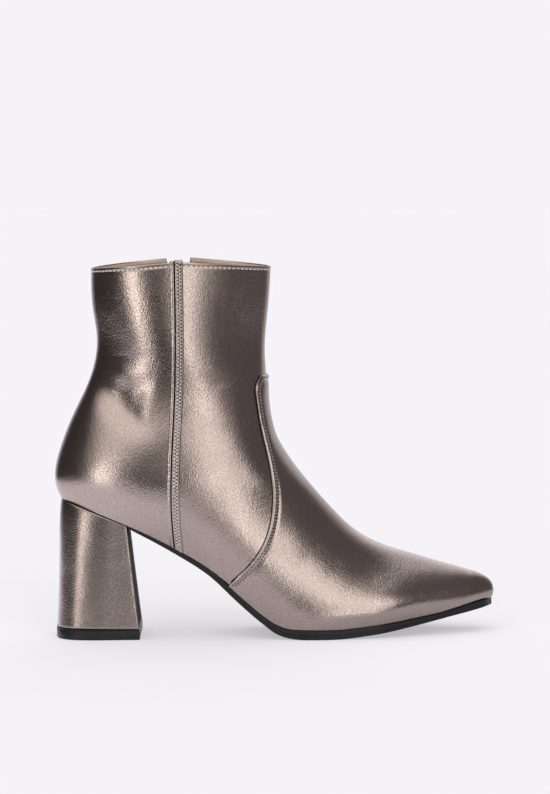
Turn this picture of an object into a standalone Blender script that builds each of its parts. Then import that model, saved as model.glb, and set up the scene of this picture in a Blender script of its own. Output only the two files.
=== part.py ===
"""Chunky heel ankle boot for the right foot, standing empty on its heel lift and forefoot.

Frame: +X runs forward to the toe, +Y to the inner (medial) side, +Z up.
The origin is the middle of the heel lift's ground face.
Sizes are in millimetres, and MM turns them into Blender's metres.
"""

import math

import bmesh
import bpy
import numpy as np
from mathutils import Vector

MM = 0.001

# Driving dimensions
BALL_WIDTH = 79.0  # width at the ball of the foot, over the vamp and the sole's edge
COLLAR_HEIGHT = 210.0  # collar edge at the front and back centre lines
COLLAR_PEAK = 4.3  # the collar edge rises this much towards the two sides
TOE_INFLARE = 9.0  # how far the toe swings to the inner side of the heel's axis
INFLARE_START = 20.0  # the swing starts here, just ahead of the heel
TOE_X = 225.0  # tip of the bare upper
TOE_ROUND = 0.045  # share of the section run that the toe's rounding takes
WALL = 1.7  # upper leather with its lining
OVERLAY = 1.2  # vamp leather
STRIP_LEATHER = 0.9
GAP = 0.3  # clearance between pieces that touch

# Upper: sections that fan out from the collar, round the heel, to the toe.
# Each spans from the front centre line to the back or bottom centre line, in the side view.
# The bottom ends lie below the sole, which trims them. lateral and medial are half widths as
# shares of the ball width, lean widens a section's back or bottom part, and fullness its two ends.
SECTION_COLUMNS = (
    "front_x", "front_z", "back_x", "back_z", "lateral", "medial", "lean_lateral", "lean_medial", "fullness",
)
SECTIONS = {
    "above_collar": (100.7, 218.0, -1.8, 218.0, 0.381, 0.381, 0.15, 0.15, -0.02),
    "shaft": (98.3, 186.0, -1.2, 186.0, 0.390, 0.390, 0.12, 0.12, -0.14),
    "ankle": (96.3, 163.0, 0.7, 166.0, 0.392, 0.392, 0.05, 0.05, -0.19),
    "throat": (97.0, 146.5, -4.2, 145.5, 0.380, 0.378, -0.09, -0.09, -0.11),
    "instep_top": (97.4, 132.5, -13.2, 126.7, 0.384, 0.379, -0.09, -0.10, 0.06),
    "long_heel": (99.3, 120.5, -20.3, 109.0, 0.415, 0.407, -0.07, -0.08, 0.06),
    "heel_back": (102.7, 110.2, -24.0, 88.5, 0.435, 0.425, -0.09, -0.09, 0.13),
    "heel_seat": (107.3, 102.2, -18.6, 75.8, 0.443, 0.432, -0.09, -0.09, 0.13),
    "heel_front": (113.0, 93.8, -4.0, 62.0, 0.439, 0.427, -0.08, -0.10, 0.15),
    "waist_back": (119.7, 85.3, 18.5, 48.0, 0.433, 0.416, -0.06, -0.13, 0.01),
    "waist": (127.3, 76.3, 41.0, 32.0, 0.430, 0.412, -0.01, -0.12, -0.13),
    "waist_front": (135.7, 67.2, 63.0, 13.0, 0.433, 0.423, 0.05, -0.01, -0.13),
    "ball_back": (144.8, 58.6, 86.0, -5.0, 0.444, 0.439, 0.13, 0.11, -0.10),
    "ball": (155.6, 51.6, 109.0, -13.0, 0.458, 0.457, 0.24, 0.22, -0.09),
    "joint_front": (167.6, 46.6, 131.0, -11.0, 0.444, 0.452, 0.24, 0.22, -0.20),
    "toe_box": (180.6, 42.6, 153.5, -7.0, 0.409, 0.428, 0.25, 0.23, -0.24),
    "toe_box_front": (194.1, 38.4, 176.0, -1.5, 0.313, 0.334, 0.17, 0.15, -0.23),
    "toe": (207.0, 34.6, 197.5, 4.0, 0.214, 0.230, 0.13, 0.11, -0.19),
    "toe_front": (217.0, 32.2, 213.0, 9.6, 0.138, 0.148, 0.12, 0.10, -0.13),
    "toe_end": (TOE_X, 32.4, TOE_X, 13.0, 0.090, 0.096, 0.09, 0.09, -0.11),
}

# Outsole in the side view: its top, which the upper stands on, and its ground side.
SOLE_COLUMNS = ("x", "top_z", "bottom_z")
SOLE_PROFILE = {
    "heel_back": (-24.0, 80.4, 79.3),
    "heel_middle": (0.0, 71.8, 70.6),
    "heel_breast": (19.0, 64.2, 62.6),
    "shank_back": (45.0, 51.2, 48.4),
    "shank": (63.0, 40.4, 36.7),
    "shank_front": (80.0, 25.4, 20.8),
    "tread_back": (94.0, 13.2, 8.6),
    "tread_turn": (102.0, 8.0, 2.8),
    "tread_flat_start": (110.0, 5.5, 0.0),
    "tread_flat_end": (134.0, 5.2, 0.0),
    "tread_rise": (154.0, 6.8, 1.7),
    "toe_spring": (180.0, 9.8, 5.7),
    "toe_spring_front": (204.0, 13.4, 10.4),
    "toe_end": (230.0, 18.0, 15.4),
}
SOLE_MARGIN_BACK = 0.2  # the sole stands out this far past the bare upper
SOLE_MARGIN_FRONT = 1.5  # and this far where it also carries the vamp
SOLE_MARGIN_RAMP = (58.0, 88.0)
SOLE_EDGE_STEP = 0.5  # the sole edge is drawn in below its upper band
SOLE_BAND = 0.45  # share of the edge height that the upper band takes
SOLE_STATIONS = 60

INSOLE_THICKNESS = 1.8
INSOLE_INSET = WALL + 1.8
INSOLE_STATIONS = 30

# Heel block and its lift: fore and aft ends and half widths at the lift and at the seat.
LIFT_HEIGHT = 6.0
LIFT_BACK_X, LIFT_FRONT_X = -24.0, 24.0
LIFT_HALF_WIDTH = 27.0
LIFT_BEVEL = 0.5
HEEL_BOTTOM_X = (-23.7, 23.0)
HEEL_TOP_X = (-21.9, 18.6)
HEEL_BOTTOM_HALF_WIDTH = 26.6
HEEL_TOP_HALF_WIDTH = 22.9
HEEL_WAISTING = 1.0  # the sides draw in this much between lift and seat
HEEL_BOTTOM_ROUND, HEEL_TOP_ROUND = 3.2, 2.5  # powers of the rounded back in plan
HEEL_TUCK = 1.4  # the back draws in under the upper
HEEL_BACK_REACH = 0.68  # share of the heel's length that the rounded back takes
HEEL_FRONT_TAPER = 1.2  # the sides close by this much from the widest place to the breast
HEEL_STATIONS, HEEL_LEVELS = 22, 7

# Vamp: the edge of its leather on each side, from the instep down to the sole, in the side view.
VAMP_EDGE_COLUMNS = ("z", "x")
VAMP_EDGE = {
    "sole": (28.0, 69.0),
    "low": (38.5, 81.5),
    "curve_low": (56.0, 94.6),
    "curve": (68.0, 98.4),
    "widest": (81.0, 99.6),
    "curve_high": (106.0, 96.3),
    "leg": (121.0, 92.9),
    "shoulder": (136.0, 90.7),
    "corner": (144.0, 90.9),
    "top": (148.6, 93.6),
}
VAMP_SOLE_CLEARANCE = 1.4
VAMP_EDGE_STEPS = 40

# Lateral seam strip: its back edge in the side view, from collar to sole.
STRIP_COLUMNS = ("z", "x")
STRIP_EDGE = {
    "sole": (48.0, 44.6),
    "low": (77.0, 42.9),
    "middle": (137.0, 45.2),
    "collar": (216.0, 45.9),
}
STRIP_WIDTH = 4.8
STRIP_ROWS = 30

# Zip on the inner side.
ZIP_X = 47.0
ZIP_SLOT_WIDTH = 9.4
ZIP_BOTTOM_Z = 68.0
ZIP_NOTCH_WIDTH = 14.5
ZIP_NOTCH_Z = 203.0
ZIP_TAPE_WIDTH, ZIP_TAPE = 21.0, 0.7
ZIP_TAPE_Z = (60.0, 205.0)
ZIP_TEETH_WIDTH, ZIP_TEETH = 4.8, 1.3
ZIP_TEETH_Z = (70.0, 196.0)
SLIDER_Z = 189.0
SLIDER_LENGTH, SLIDER_TOP_WIDTH, SLIDER_FOOT_WIDTH, SLIDER_PLATE = 11.0, 8.4, 6.0, 1.6
SLIDER_LIFT = 0.5  # the slider's plate stands this far above the leather's surface
CROWN_WIDTH, CROWN_LENGTH, CROWN_BAR = 2.0, 8.4, 0.9
TUNNEL_LENGTH, TUNNEL_HEIGHT = 2.4, 1.9
PULL_WIDTH, PULL_LENGTH, PULL_THICKNESS = 6.0, 25.0, 1.2
PULL_BAR, PULL_WINDOW_WIDTH, PULL_WINDOW_LENGTH = 1.1, 3.2, 6.2

SHAFT_ROWS, FOOT_ROWS, UPPER_COLUMNS = 13, 32, 28
LATERAL, MEDIAL = -1, 1


def column(table, columns, name):
    place = columns.index(name)
    return np.array([row[place] for row in table.values()])


def natural_spline(knots, values):
    """A cubic with smooth bends through the knots."""
    step, rise = np.diff(knots), np.diff(values)
    count = len(knots)
    matrix, right = np.eye(count), np.zeros(count)
    for i in range(1, count - 1):
        matrix[i, i - 1 : i + 2] = step[i - 1], 2 * (step[i - 1] + step[i]), step[i]
        right[i] = 3 * (rise[i] / step[i] - rise[i - 1] / step[i - 1])
    bend = np.linalg.solve(matrix, right)
    slope = rise / step - step * (2 * bend[:-1] + bend[1:]) / 3
    twist = np.diff(bend) / (3 * step)

    def curve(at):
        i = int(np.clip(np.searchsorted(knots, at) - 1, 0, count - 2))
        d = at - knots[i]
        return values[i] + d * (slope[i] + d * (bend[i] + d * twist[i]))

    return curve


def level_spline(knots, values):
    """A cubic that stays between its knots, so that equal knots give a flat stretch."""
    step, rise = np.diff(knots), np.diff(values)
    secant = rise / step
    slope = np.zeros(len(knots))
    slope[0], slope[-1] = secant[0], secant[-1]
    for i in range(1, len(knots) - 1):
        if secant[i - 1] * secant[i] > 0:
            before, after = 2 * step[i] + step[i - 1], step[i] + 2 * step[i - 1]
            slope[i] = (before + after) / (before / secant[i - 1] + after / secant[i])

    def curve(at):
        i = int(np.clip(np.searchsorted(knots, at) - 1, 0, len(knots) - 2))
        s = (at - knots[i]) / step[i]
        start = values[i] * (1 + 2 * s) * (1 - s) ** 2 + slope[i] * step[i] * s * (1 - s) ** 2
        return start + values[i + 1] * s * s * (3 - 2 * s) + slope[i + 1] * step[i] * s * s * (s - 1)

    return curve


def section_places():
    """How far along the fan each section lies, from 0 at the collar to 1 at the toe."""
    front = np.column_stack([column(SECTIONS, SECTION_COLUMNS, n) for n in ("front_x", "front_z")])
    back = np.column_stack([column(SECTIONS, SECTION_COLUMNS, n) for n in ("back_x", "back_z")])
    steps = [np.linalg.norm(np.diff(line, axis=0), axis=1) for line in (front, back)]
    run = np.concatenate([[0.0], np.cumsum(steps[0] + steps[1])])
    return run / run[-1]


PLACES = section_places()
SECTION_CURVES = {
    name: natural_spline(PLACES, column(SECTIONS, SECTION_COLUMNS, name)) for name in SECTION_COLUMNS
}
SOLE_X = column(SOLE_PROFILE, SOLE_COLUMNS, "x")
sole_top = level_spline(SOLE_X, column(SOLE_PROFILE, SOLE_COLUMNS, "top_z"))
sole_bottom = level_spline(SOLE_X, column(SOLE_PROFILE, SOLE_COLUMNS, "bottom_z"))
vamp_edge_x = natural_spline(*(column(VAMP_EDGE, VAMP_EDGE_COLUMNS, n) for n in VAMP_EDGE_COLUMNS))
strip_edge_x = natural_spline(*(column(STRIP_EDGE, STRIP_COLUMNS, n) for n in STRIP_COLUMNS))


def bisect(function, low, high):
    """The place between low and high where the function changes sign."""
    sign = function(low) > 0
    for _ in range(40):
        middle = (low + high) / 2
        if (function(middle) > 0) == sign:
            low = middle
        else:
            high = middle
    return (low + high) / 2


def inflare(x):
    return TOE_INFLARE * (max(0.0, x - INFLARE_START) / (TOE_X - INFLARE_START)) ** 2


def last_point(place, turn, side):
    """A point of the upper's outer face: turn runs from 0 on the front centre line to pi at the back or bottom."""
    c = {name: curve(place) for name, curve in SECTION_CURVES.items()}
    rounding = math.sqrt(max(0.0, 1 - max(0.0, (place - 1 + TOE_ROUND) / TOE_ROUND) ** 2))
    along = -math.cos(turn) * rounding
    x = (c["front_x"] + c["back_x"]) / 2 + along * (c["back_x"] - c["front_x"]) / 2
    z = (c["front_z"] + c["back_z"]) / 2 + along * (c["back_z"] - c["front_z"]) / 2
    half, lean = (c["lateral"], c["lean_lateral"]) if side == LATERAL else (c["medial"], c["lean_medial"])
    shape = 1 - lean * math.cos(turn) + c["fullness"] * math.cos(turn) ** 2
    y = side * half * BALL_WIDTH * rounding * math.sin(turn) * shape
    return Vector((x, y + inflare(x), z))


def last_normal(place, turn, side):
    """The outward direction at a point of the upper."""
    nudge = 1e-4
    if place > 1 - nudge:
        tip, behind = (last_point(p, math.pi / 2, MEDIAL) for p in (1.0, 1 - TOE_ROUND))
        return Vector((tip.x - behind.x, 0.0, 0.0)).normalized()
    low, high = max(0.0, place - nudge), place + nudge
    along = last_point(high, turn, side) - last_point(low, turn, side)
    around = last_point(place, turn + nudge, side) - last_point(place, turn - nudge, side)
    return side * along.cross(around).normalized()


def sole_turn(place, clearance=GAP):
    """The turn, on both sides, at which a section meets the sole, or pi where it closes above it."""

    def height(turn):
        p = last_point(place, turn, LATERAL)
        return p.z - sole_top(p.x) - clearance

    return math.pi if height(math.pi) > 0 else bisect(height, math.pi / 2, math.pi)


def collar_place(turn):
    """Where the collar edge crosses a line down the shaft."""

    def above(place):
        edge = COLLAR_HEIGHT + COLLAR_PEAK * (1 - abs(math.cos(turn)))
        return last_point(place, turn, LATERAL).z - edge

    return bisect(above, 0.0, PLACES[2])


def side_place(x, z):
    """The section and turn under a point of the side view."""

    def beside(place):
        c = {name: SECTION_CURVES[name](place) for name in SECTION_COLUMNS[:4]}
        run_x, run_z = c["back_x"] - c["front_x"], c["back_z"] - c["front_z"]
        return run_x * (z - c["front_z"]) - run_z * (x - c["front_x"])

    place = bisect(beside, 0.0, 1.0 - TOE_ROUND)
    front, back = (SECTION_CURVES[n](place) for n in ("front_x", "back_x"))
    along = (2 * x - front - back) / (back - front)
    return place, math.acos(max(-1.0, min(1.0, -along)))


def side_point(x, z, side, offset=0.0):
    """The point of the upper's face seen at x, z from one side, moved out by the offset."""
    place, turn = side_place(x, z)
    return last_point(place, turn, side) + offset * last_normal(place, turn, side)


def sole_outline():
    """Where the upper's two sides meet the sole: x against y, from heel to toe."""
    lines = {}
    for side in (LATERAL, MEDIAL):
        points = []
        for place in np.linspace(PLACES[6], 1.0, 240):
            turn = sole_turn(place)
            if turn < math.pi:
                p = last_point(place, turn, side)
                points.append((p.x, p.y))
        lines[side] = np.array(points)
    return lines


OUTLINE = sole_outline()
OUTLINE_BACK_X = min(line[0, 0] for line in OUTLINE.values())
OUTLINE_FRONT_X = max(line[-1, 0] for line in OUTLINE.values())


def outline_y(x, side, margin):
    """The sole outline's y at x, moved out by a margin, or in by a negative one."""
    line = OUTLINE[side]
    middle = inflare(x)
    ends = (OUTLINE_BACK_X - margin, OUTLINE_FRONT_X + margin)
    share = (x - ends[0]) / (ends[1] - ends[0])
    inside = OUTLINE_BACK_X + share * (OUTLINE_FRONT_X - OUTLINE_BACK_X)
    half = abs(np.interp(inside, line[:, 0], line[:, 1]) - middle)
    return middle + side * max(0.0, half + margin * min(1.0, half / (4 * abs(margin) + 1e-9)))


def stations(low, high, count):
    """Places that crowd towards both ends."""
    return [low + (high - low) * (1 - math.cos(math.pi * i / count)) / 2 for i in range(count + 1)]


def clear_scene():
    for thing in list(bpy.data.objects):
        bpy.data.objects.remove(thing, do_unlink=True)


def new_collection(name):
    made = bpy.data.collections.new(name)
    bpy.context.scene.collection.children.link(made)
    return made


def finish_material(name, colour, roughness, metallic):
    material = bpy.data.materials.new(name)
    material.use_nodes = True
    shader = material.node_tree.nodes["Principled BSDF"]
    shader.inputs["Base Color"].default_value = (*colour, 1.0)
    shader.inputs["Roughness"].default_value = roughness
    shader.inputs["Metallic"].default_value = metallic
    return material


def mesh_object(name, bm, collection, material, smooth_angle=40):
    """An object from millimetre geometry, welded and shaded."""
    bmesh.ops.scale(bm, vec=(MM, MM, MM), verts=bm.verts)
    bmesh.ops.remove_doubles(bm, verts=bm.verts, dist=0.00002)
    mesh = bpy.data.meshes.new(name)
    bm.to_mesh(mesh)
    bm.free()
    mesh.shade_smooth()
    mesh.set_sharp_from_angle(angle=math.radians(smooth_angle))
    made = bpy.data.objects.new(name, mesh)
    collection.objects.link(made)
    if material:
        made.data.materials.append(material)
    return made


def bent_grid(function, rows, columns):
    """A grid bent by a function of two shares, each from 0 to 1."""
    bm = bmesh.new()
    bmesh.ops.create_grid(bm, x_segments=rows, y_segments=columns, size=0.5)
    for vertex in bm.verts:
        vertex.co = function(vertex.co.x + 0.5, vertex.co.y + 0.5)
    return bm


def ring_loft(rings, close_ends=True):
    """Walls between closed rings of equal count, with the two ends filled."""
    bm = bmesh.new()
    loops = [[bm.verts.new(p) for p in ring] for ring in rings]
    count = len(rings[0])
    for lower, upper in zip(loops, loops[1:]):
        for i in range(count):
            j = (i + 1) % count
            bm.faces.new((lower[i], lower[j], upper[j], upper[i]))
    if close_ends:
        for loop in (loops[0], loops[-1]):
            half = count // 2
            for i in range(half - 1):
                bm.faces.new((loop[i], loop[i + 1], loop[count - 2 - i], loop[count - 1 - i]))
    bmesh.ops.remove_doubles(bm, verts=bm.verts, dist=0.01)
    bmesh.ops.dissolve_degenerate(bm, edges=bm.edges, dist=0.005)
    bmesh.ops.recalc_face_normals(bm, faces=bm.faces)
    return bm


def add_wall(thing, thickness, offset):
    wall = thing.modifiers.new("wall", "SOLIDIFY")
    wall.thickness = thickness * MM
    wall.offset = offset
    wall.use_even_offset = True
    wall.use_rim = True
    return wall


def flat_shape(name, outlines, thickness, collection, material=None):
    """A mesh plate from 2D outlines, the first solid and the rest holes, in its own XY plane."""
    curve = bpy.data.curves.new(name + "_outline", "CURVE")
    curve.dimensions = "2D"
    curve.fill_mode = "BOTH"
    curve.extrude = thickness * MM / 2
    for points in outlines:
        spline = curve.splines.new("POLY")
        spline.points.add(len(points) - 1)
        spline.use_cyclic_u = True
        for knot, (a, b) in zip(spline.points, points):
            knot.co = (a * MM, b * MM, 0, 1)
    source = bpy.data.objects.new(name + "_outline", curve)
    collection.objects.link(source)
    bpy.context.view_layer.update()
    graph = bpy.context.evaluated_depsgraph_get()
    mesh = bpy.data.meshes.new_from_object(source.evaluated_get(graph))
    bpy.data.objects.remove(source, do_unlink=True)
    bm = bmesh.new()
    bm.from_mesh(mesh)
    bmesh.ops.remove_doubles(bm, verts=bm.verts, dist=0.000005)
    bmesh.ops.recalc_face_normals(bm, faces=bm.faces)
    bm.to_mesh(mesh)
    bm.free()
    made = bpy.data.objects.new(name, mesh)
    collection.objects.link(made)
    if material:
        mesh.materials.append(material)
    return made


def make_cutter(thing):
    thing.hide_render = True
    thing.display_type = "WIRE"
    return thing


def add_boolean(thing, other, operation):
    step = thing.modifiers.new(operation.lower(), "BOOLEAN")
    step.object = other
    step.operation = operation
    return step


def rounded_box(width, length, radius, centre=(0.0, 0.0), steps=4):
    """A rectangle with round corners, as a list of points."""
    points = []
    for corner in range(4):
        sign_x, sign_y = ((1, 1), (-1, 1), (-1, -1), (1, -1))[corner]
        for i in range(steps + 1):
            angle = math.radians(90 * corner + 90 * i / steps)
            points.append((
                centre[0] + sign_x * (width / 2 - radius) + radius * math.cos(angle),
                centre[1] + sign_y * (length / 2 - radius) + radius * math.sin(angle),
            ))
    return points


def upper_rows():
    """Places of the upper's rows: even down to the heel's back, then crowded there and at the toe."""
    heel = bisect(lambda place: sole_turn(place) - math.pi + 1e-6, PLACES[6], PLACES[8])
    shaft = [heel * i / SHAFT_ROWS for i in range(SHAFT_ROWS)]
    return shaft, stations(heel, 1.0, FOOT_ROWS)


def upper_grid(offset=0.0, clearance=GAP):
    """The upper's face from collar to toe and round both sides, moved out by an offset."""
    shaft, foot = upper_rows()
    heel = foot[0]
    rows = shaft + foot

    def upper_point(along, across):
        side = LATERAL if across < 0.5 else MEDIAL
        share = abs(2 * across - 1)
        place = rows[round(along * (len(rows) - 1))]
        if place < heel:
            start = collar_place(share * math.pi)
            place = start + (heel - start) * place / heel
        turn = share * sole_turn(place, clearance)
        return last_point(place, turn, side) + offset * last_normal(place, turn, side)

    return bent_grid(upper_point, len(rows) - 1, UPPER_COLUMNS)


def build_upper(collection, cutters, material):
    """The hollow upper: open at the collar, underneath, and down the zip."""
    upper = mesh_object("upper", upper_grid(), collection, material)
    add_wall(upper, WALL, -1)
    half, notch = ZIP_SLOT_WIDTH / 2, ZIP_NOTCH_WIDTH / 2
    top = COLLAR_HEIGHT + COLLAR_PEAK
    spread = notch + (notch - half) * 4 / (top - ZIP_NOTCH_Z)
    arc = [math.radians(180 + 30 * i) for i in range(7)]
    outline = [(ZIP_X + half * math.cos(a), ZIP_BOTTOM_Z + half * (1 + math.sin(a))) for a in arc]
    outline += [(ZIP_X + half, ZIP_NOTCH_Z), (ZIP_X + spread, top + 4)]
    outline += [(ZIP_X - spread, top + 4), (ZIP_X - half, ZIP_NOTCH_Z)]
    slot = make_cutter(flat_shape("zip_slot", [outline], 40.0, cutters))
    slot.rotation_euler = (math.radians(90), 0, 0)
    slot.location = (0, 34.0 * MM, 0)
    add_boolean(upper, slot, "DIFFERENCE")
    return upper


def build_vamp(collection, cutters, material):
    """The vamp: the part ahead of its edge of a leather layer over the upper."""
    vamp = mesh_object("vamp", upper_grid(GAP, VAMP_SOLE_CLEARANCE), collection, material)
    add_wall(vamp, OVERLAY, 1)
    heights = np.linspace(VAMP_EDGE["sole"][0], VAMP_EDGE["top"][0], VAMP_EDGE_STEPS + 1)
    front = TOE_X + 20.0
    outline = [(vamp_edge_x(z), z) for z in heights]
    outline += [(front, heights[-1]), (front, -20.0), (outline[0][0], -20.0)]
    region = make_cutter(flat_shape("vamp_region", [outline], 2 * BALL_WIDTH, cutters))
    region.rotation_euler = (math.radians(90), 0, 0)
    add_boolean(vamp, region, "INTERSECT")
    return vamp


def build_side_strip(collection, material):
    """The strip that covers the seam of the outer side, from collar to sole."""

    def strip_point(down, across):
        width = STRIP_WIDTH * across
        low = bisect(lambda z: z - sole_top(strip_edge_x(z) + width) - 1.2, 20.0, 120.0)
        z = COLLAR_HEIGHT + COLLAR_PEAK - 0.6 + (low - COLLAR_HEIGHT - COLLAR_PEAK + 0.6) * down
        return side_point(strip_edge_x(z) + width, z, LATERAL, GAP)

    strip = mesh_object("side_strip", bent_grid(strip_point, STRIP_ROWS, 2), collection, material)
    add_wall(strip, STRIP_LEATHER, 1)
    return strip


def sole_margin(x):
    low, high = SOLE_MARGIN_RAMP
    share = min(1.0, max(0.0, (x - low) / (high - low)))
    return SOLE_MARGIN_BACK + (SOLE_MARGIN_FRONT - SOLE_MARGIN_BACK) * share * share * (3 - 2 * share)


def build_outsole(collection, material):
    """The outsole: full length, thin over the heel seat, flat under the ball."""
    rings = []
    for x in stations(OUTLINE_BACK_X - SOLE_MARGIN_BACK, OUTLINE_FRONT_X + SOLE_MARGIN_FRONT, SOLE_STATIONS):
        margin = sole_margin(x)
        top, bottom = sole_top(x), sole_bottom(x)
        band = top - SOLE_BAND * (top - bottom)
        outer = {side: outline_y(x, side, margin) for side in (LATERAL, MEDIAL)}
        drawn = {side: outline_y(x, side, margin - SOLE_EDGE_STEP) for side in (LATERAL, MEDIAL)}
        left = [(outer[LATERAL], top), (outer[LATERAL], band), (drawn[LATERAL], band - 0.2), (drawn[LATERAL], bottom)]
        right = [(outer[MEDIAL], top), (outer[MEDIAL], band), (drawn[MEDIAL], band - 0.2), (drawn[MEDIAL], bottom)]
        rings.append([(x, y, z) for y, z in left + right[::-1]])
    return mesh_object("outsole", ring_loft(rings), collection, material, 30)


def build_insole(collection, material):
    """The sock that lies on the sole, inside the upper's wall."""
    ends = (OUTLINE_BACK_X + INSOLE_INSET, OUTLINE_FRONT_X - INSOLE_INSET)
    rings = []
    for x in stations(*ends, INSOLE_STATIONS):
        low = sole_top(x) + GAP
        high = low + INSOLE_THICKNESS
        y = {side: outline_y(x, side, -INSOLE_INSET) for side in (LATERAL, MEDIAL)}
        rings.append([(x, y[LATERAL], high), (x, y[LATERAL], low), (x, y[MEDIAL], low), (x, y[MEDIAL], high)])
    return mesh_object("insole", ring_loft(rings), collection, material, 30)


def heel_plan(share, level):
    """Half width of the heel in plan, as a share, from its rounded back at 0 to its breast at 1."""
    reach = min(1.0, share / HEEL_BACK_REACH)
    power = HEEL_BOTTOM_ROUND + (HEEL_TOP_ROUND - HEEL_BOTTOM_ROUND) * level
    return (1 - (1 - reach) ** power) ** (1 / power)


def heel_ring(share, levels):
    """One slice of the heel across the boot: up the outer side and down the inner one."""
    sides = {LATERAL: [], MEDIAL: []}
    for level in levels:
        low, high = HEEL_BOTTOM_X, HEEL_TOP_X
        back = low[0] + (high[0] - low[0]) * (1 - (1 - level) ** 3) + HEEL_TUCK * level**10
        front = low[1] + (high[1] - low[1]) * level
        x = back + (front - back) * share
        half = HEEL_BOTTOM_HALF_WIDTH + (HEEL_TOP_HALF_WIDTH - HEEL_BOTTOM_HALF_WIDTH) * level
        half -= HEEL_WAISTING * math.sin(math.pi * level) + HEEL_FRONT_TAPER * max(0.0, share - 0.4)
        y = half * heel_plan(share, level)
        floor, seat = LIFT_HEIGHT + GAP, sole_bottom(x) - GAP
        z = floor + (seat - floor) * level
        for side in sides:
            sides[side].append((x, side * y, z))
    return sides[LATERAL] + sides[MEDIAL][::-1]


def build_heel(collection, material):
    """The covered heel block: flared towards the ground, round behind, flat at the breast."""
    levels = [i / HEEL_LEVELS for i in range(HEEL_LEVELS + 1)]
    shares = [1 - math.cos(math.pi / 2 * i / HEEL_STATIONS) for i in range(HEEL_STATIONS + 1)]
    return mesh_object("heel", ring_loft([heel_ring(s, levels) for s in shares]), collection, material, 35)


def build_heel_lift(collection, material):
    """The rubber lift that the heel stands on."""
    rings = []
    levels = ((0.0, LIFT_BEVEL), (LIFT_BEVEL, 0.0), (LIFT_HEIGHT, 0.0))
    for i in range(HEEL_STATIONS + 1):
        share = 1 - math.cos(math.pi / 2 * i / HEEL_STATIONS)
        sides = {LATERAL: [], MEDIAL: []}
        for z, bevel in levels:
            back, front = LIFT_BACK_X + bevel, LIFT_FRONT_X - bevel
            x = back + (front - back) * share
            half = LIFT_HALF_WIDTH - bevel - HEEL_FRONT_TAPER * max(0.0, share - 0.4)
            for side in sides:
                sides[side].append((x, side * half * heel_plan(share, 0.0), z))
        rings.append(sides[LATERAL] + sides[MEDIAL][::-1])
    return mesh_object("heel_lift", ring_loft(rings), collection, material, 30)


def zip_band(name, width, low, high, depth, thickness, rows, columns, collection, material):
    """A band along the zip's line that follows the inner side of the upper, below its outer face."""

    def band_point(up, across):
        return side_point(ZIP_X + width * (across - 0.5), low + (high - low) * up, MEDIAL, -depth)

    band = mesh_object(name, bent_grid(band_point, rows, columns), collection, material)
    add_wall(band, thickness, 1)
    return band


def zip_seat():
    """Where the slider's plate meets the leather's surface."""
    return side_point(ZIP_X, SLIDER_Z, MEDIAL).y


def stand_on_zip(thing, height):
    """Turns a flat shape to face the inner side, at a height above the leather."""
    thing.rotation_euler = (math.radians(90), 0, math.radians(180))
    thing.location = (ZIP_X * MM, (zip_seat() + height) * MM, SLIDER_Z * MM)
    return thing


def build_zip_slider(collection, cutters, material):
    """The slider: a shield plate with a crown that the pull tab hangs in."""
    half_top, half_foot, half_length = SLIDER_TOP_WIDTH / 2, SLIDER_FOOT_WIDTH / 2, SLIDER_LENGTH / 2
    shield = [(-half_foot, -half_length), (half_foot, -half_length), (half_top, half_length - 3.0)]
    shield += [(half_top - 1.2, half_length), (-half_top + 1.2, half_length), (-half_top, half_length - 3.0)]
    slider = flat_shape("zip_slider", [shield], SLIDER_PLATE, collection, material)
    stand_on_zip(slider, SLIDER_LIFT + SLIDER_PLATE / 2)
    half, tunnel = CROWN_LENGTH / 2, TUNNEL_LENGTH / 2
    height = TUNNEL_HEIGHT + CROWN_BAR
    sunk = SLIDER_PLATE / 2
    arch = [(-half, -sunk), (half, -sunk), (half - 1.6, height), (-half + 1.6, height)]
    hole = rounded_box(2 * tunnel, TUNNEL_HEIGHT, 0.3, (0.0, TUNNEL_HEIGHT / 2), 2)
    crown = make_cutter(flat_shape("zip_crown", [arch, hole], CROWN_WIDTH, cutters))
    crown.rotation_euler = (0, math.radians(-90), 0)
    crown.location = (ZIP_X * MM, (zip_seat() + SLIDER_LIFT + SLIDER_PLATE) * MM, SLIDER_Z * MM)
    add_boolean(slider, crown, "UNION")
    return slider


def build_zip_pull(collection, material):
    """The pull tab: a plate whose cross bar turns in the slider's crown. Its origin is on the bar's axis."""
    top = PULL_BAR / 2
    plate = rounded_box(PULL_WIDTH, PULL_LENGTH, 1.2, (0.0, top - PULL_LENGTH / 2))
    window = rounded_box(PULL_WINDOW_WIDTH, PULL_WINDOW_LENGTH, 0.4, (0.0, -top - PULL_WINDOW_LENGTH / 2), 2)
    pull = flat_shape("zip_pull", [plate, window], PULL_THICKNESS, collection, material)
    return stand_on_zip(pull, SLIDER_LIFT + SLIDER_PLATE + TUNNEL_HEIGHT / 2)


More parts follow.
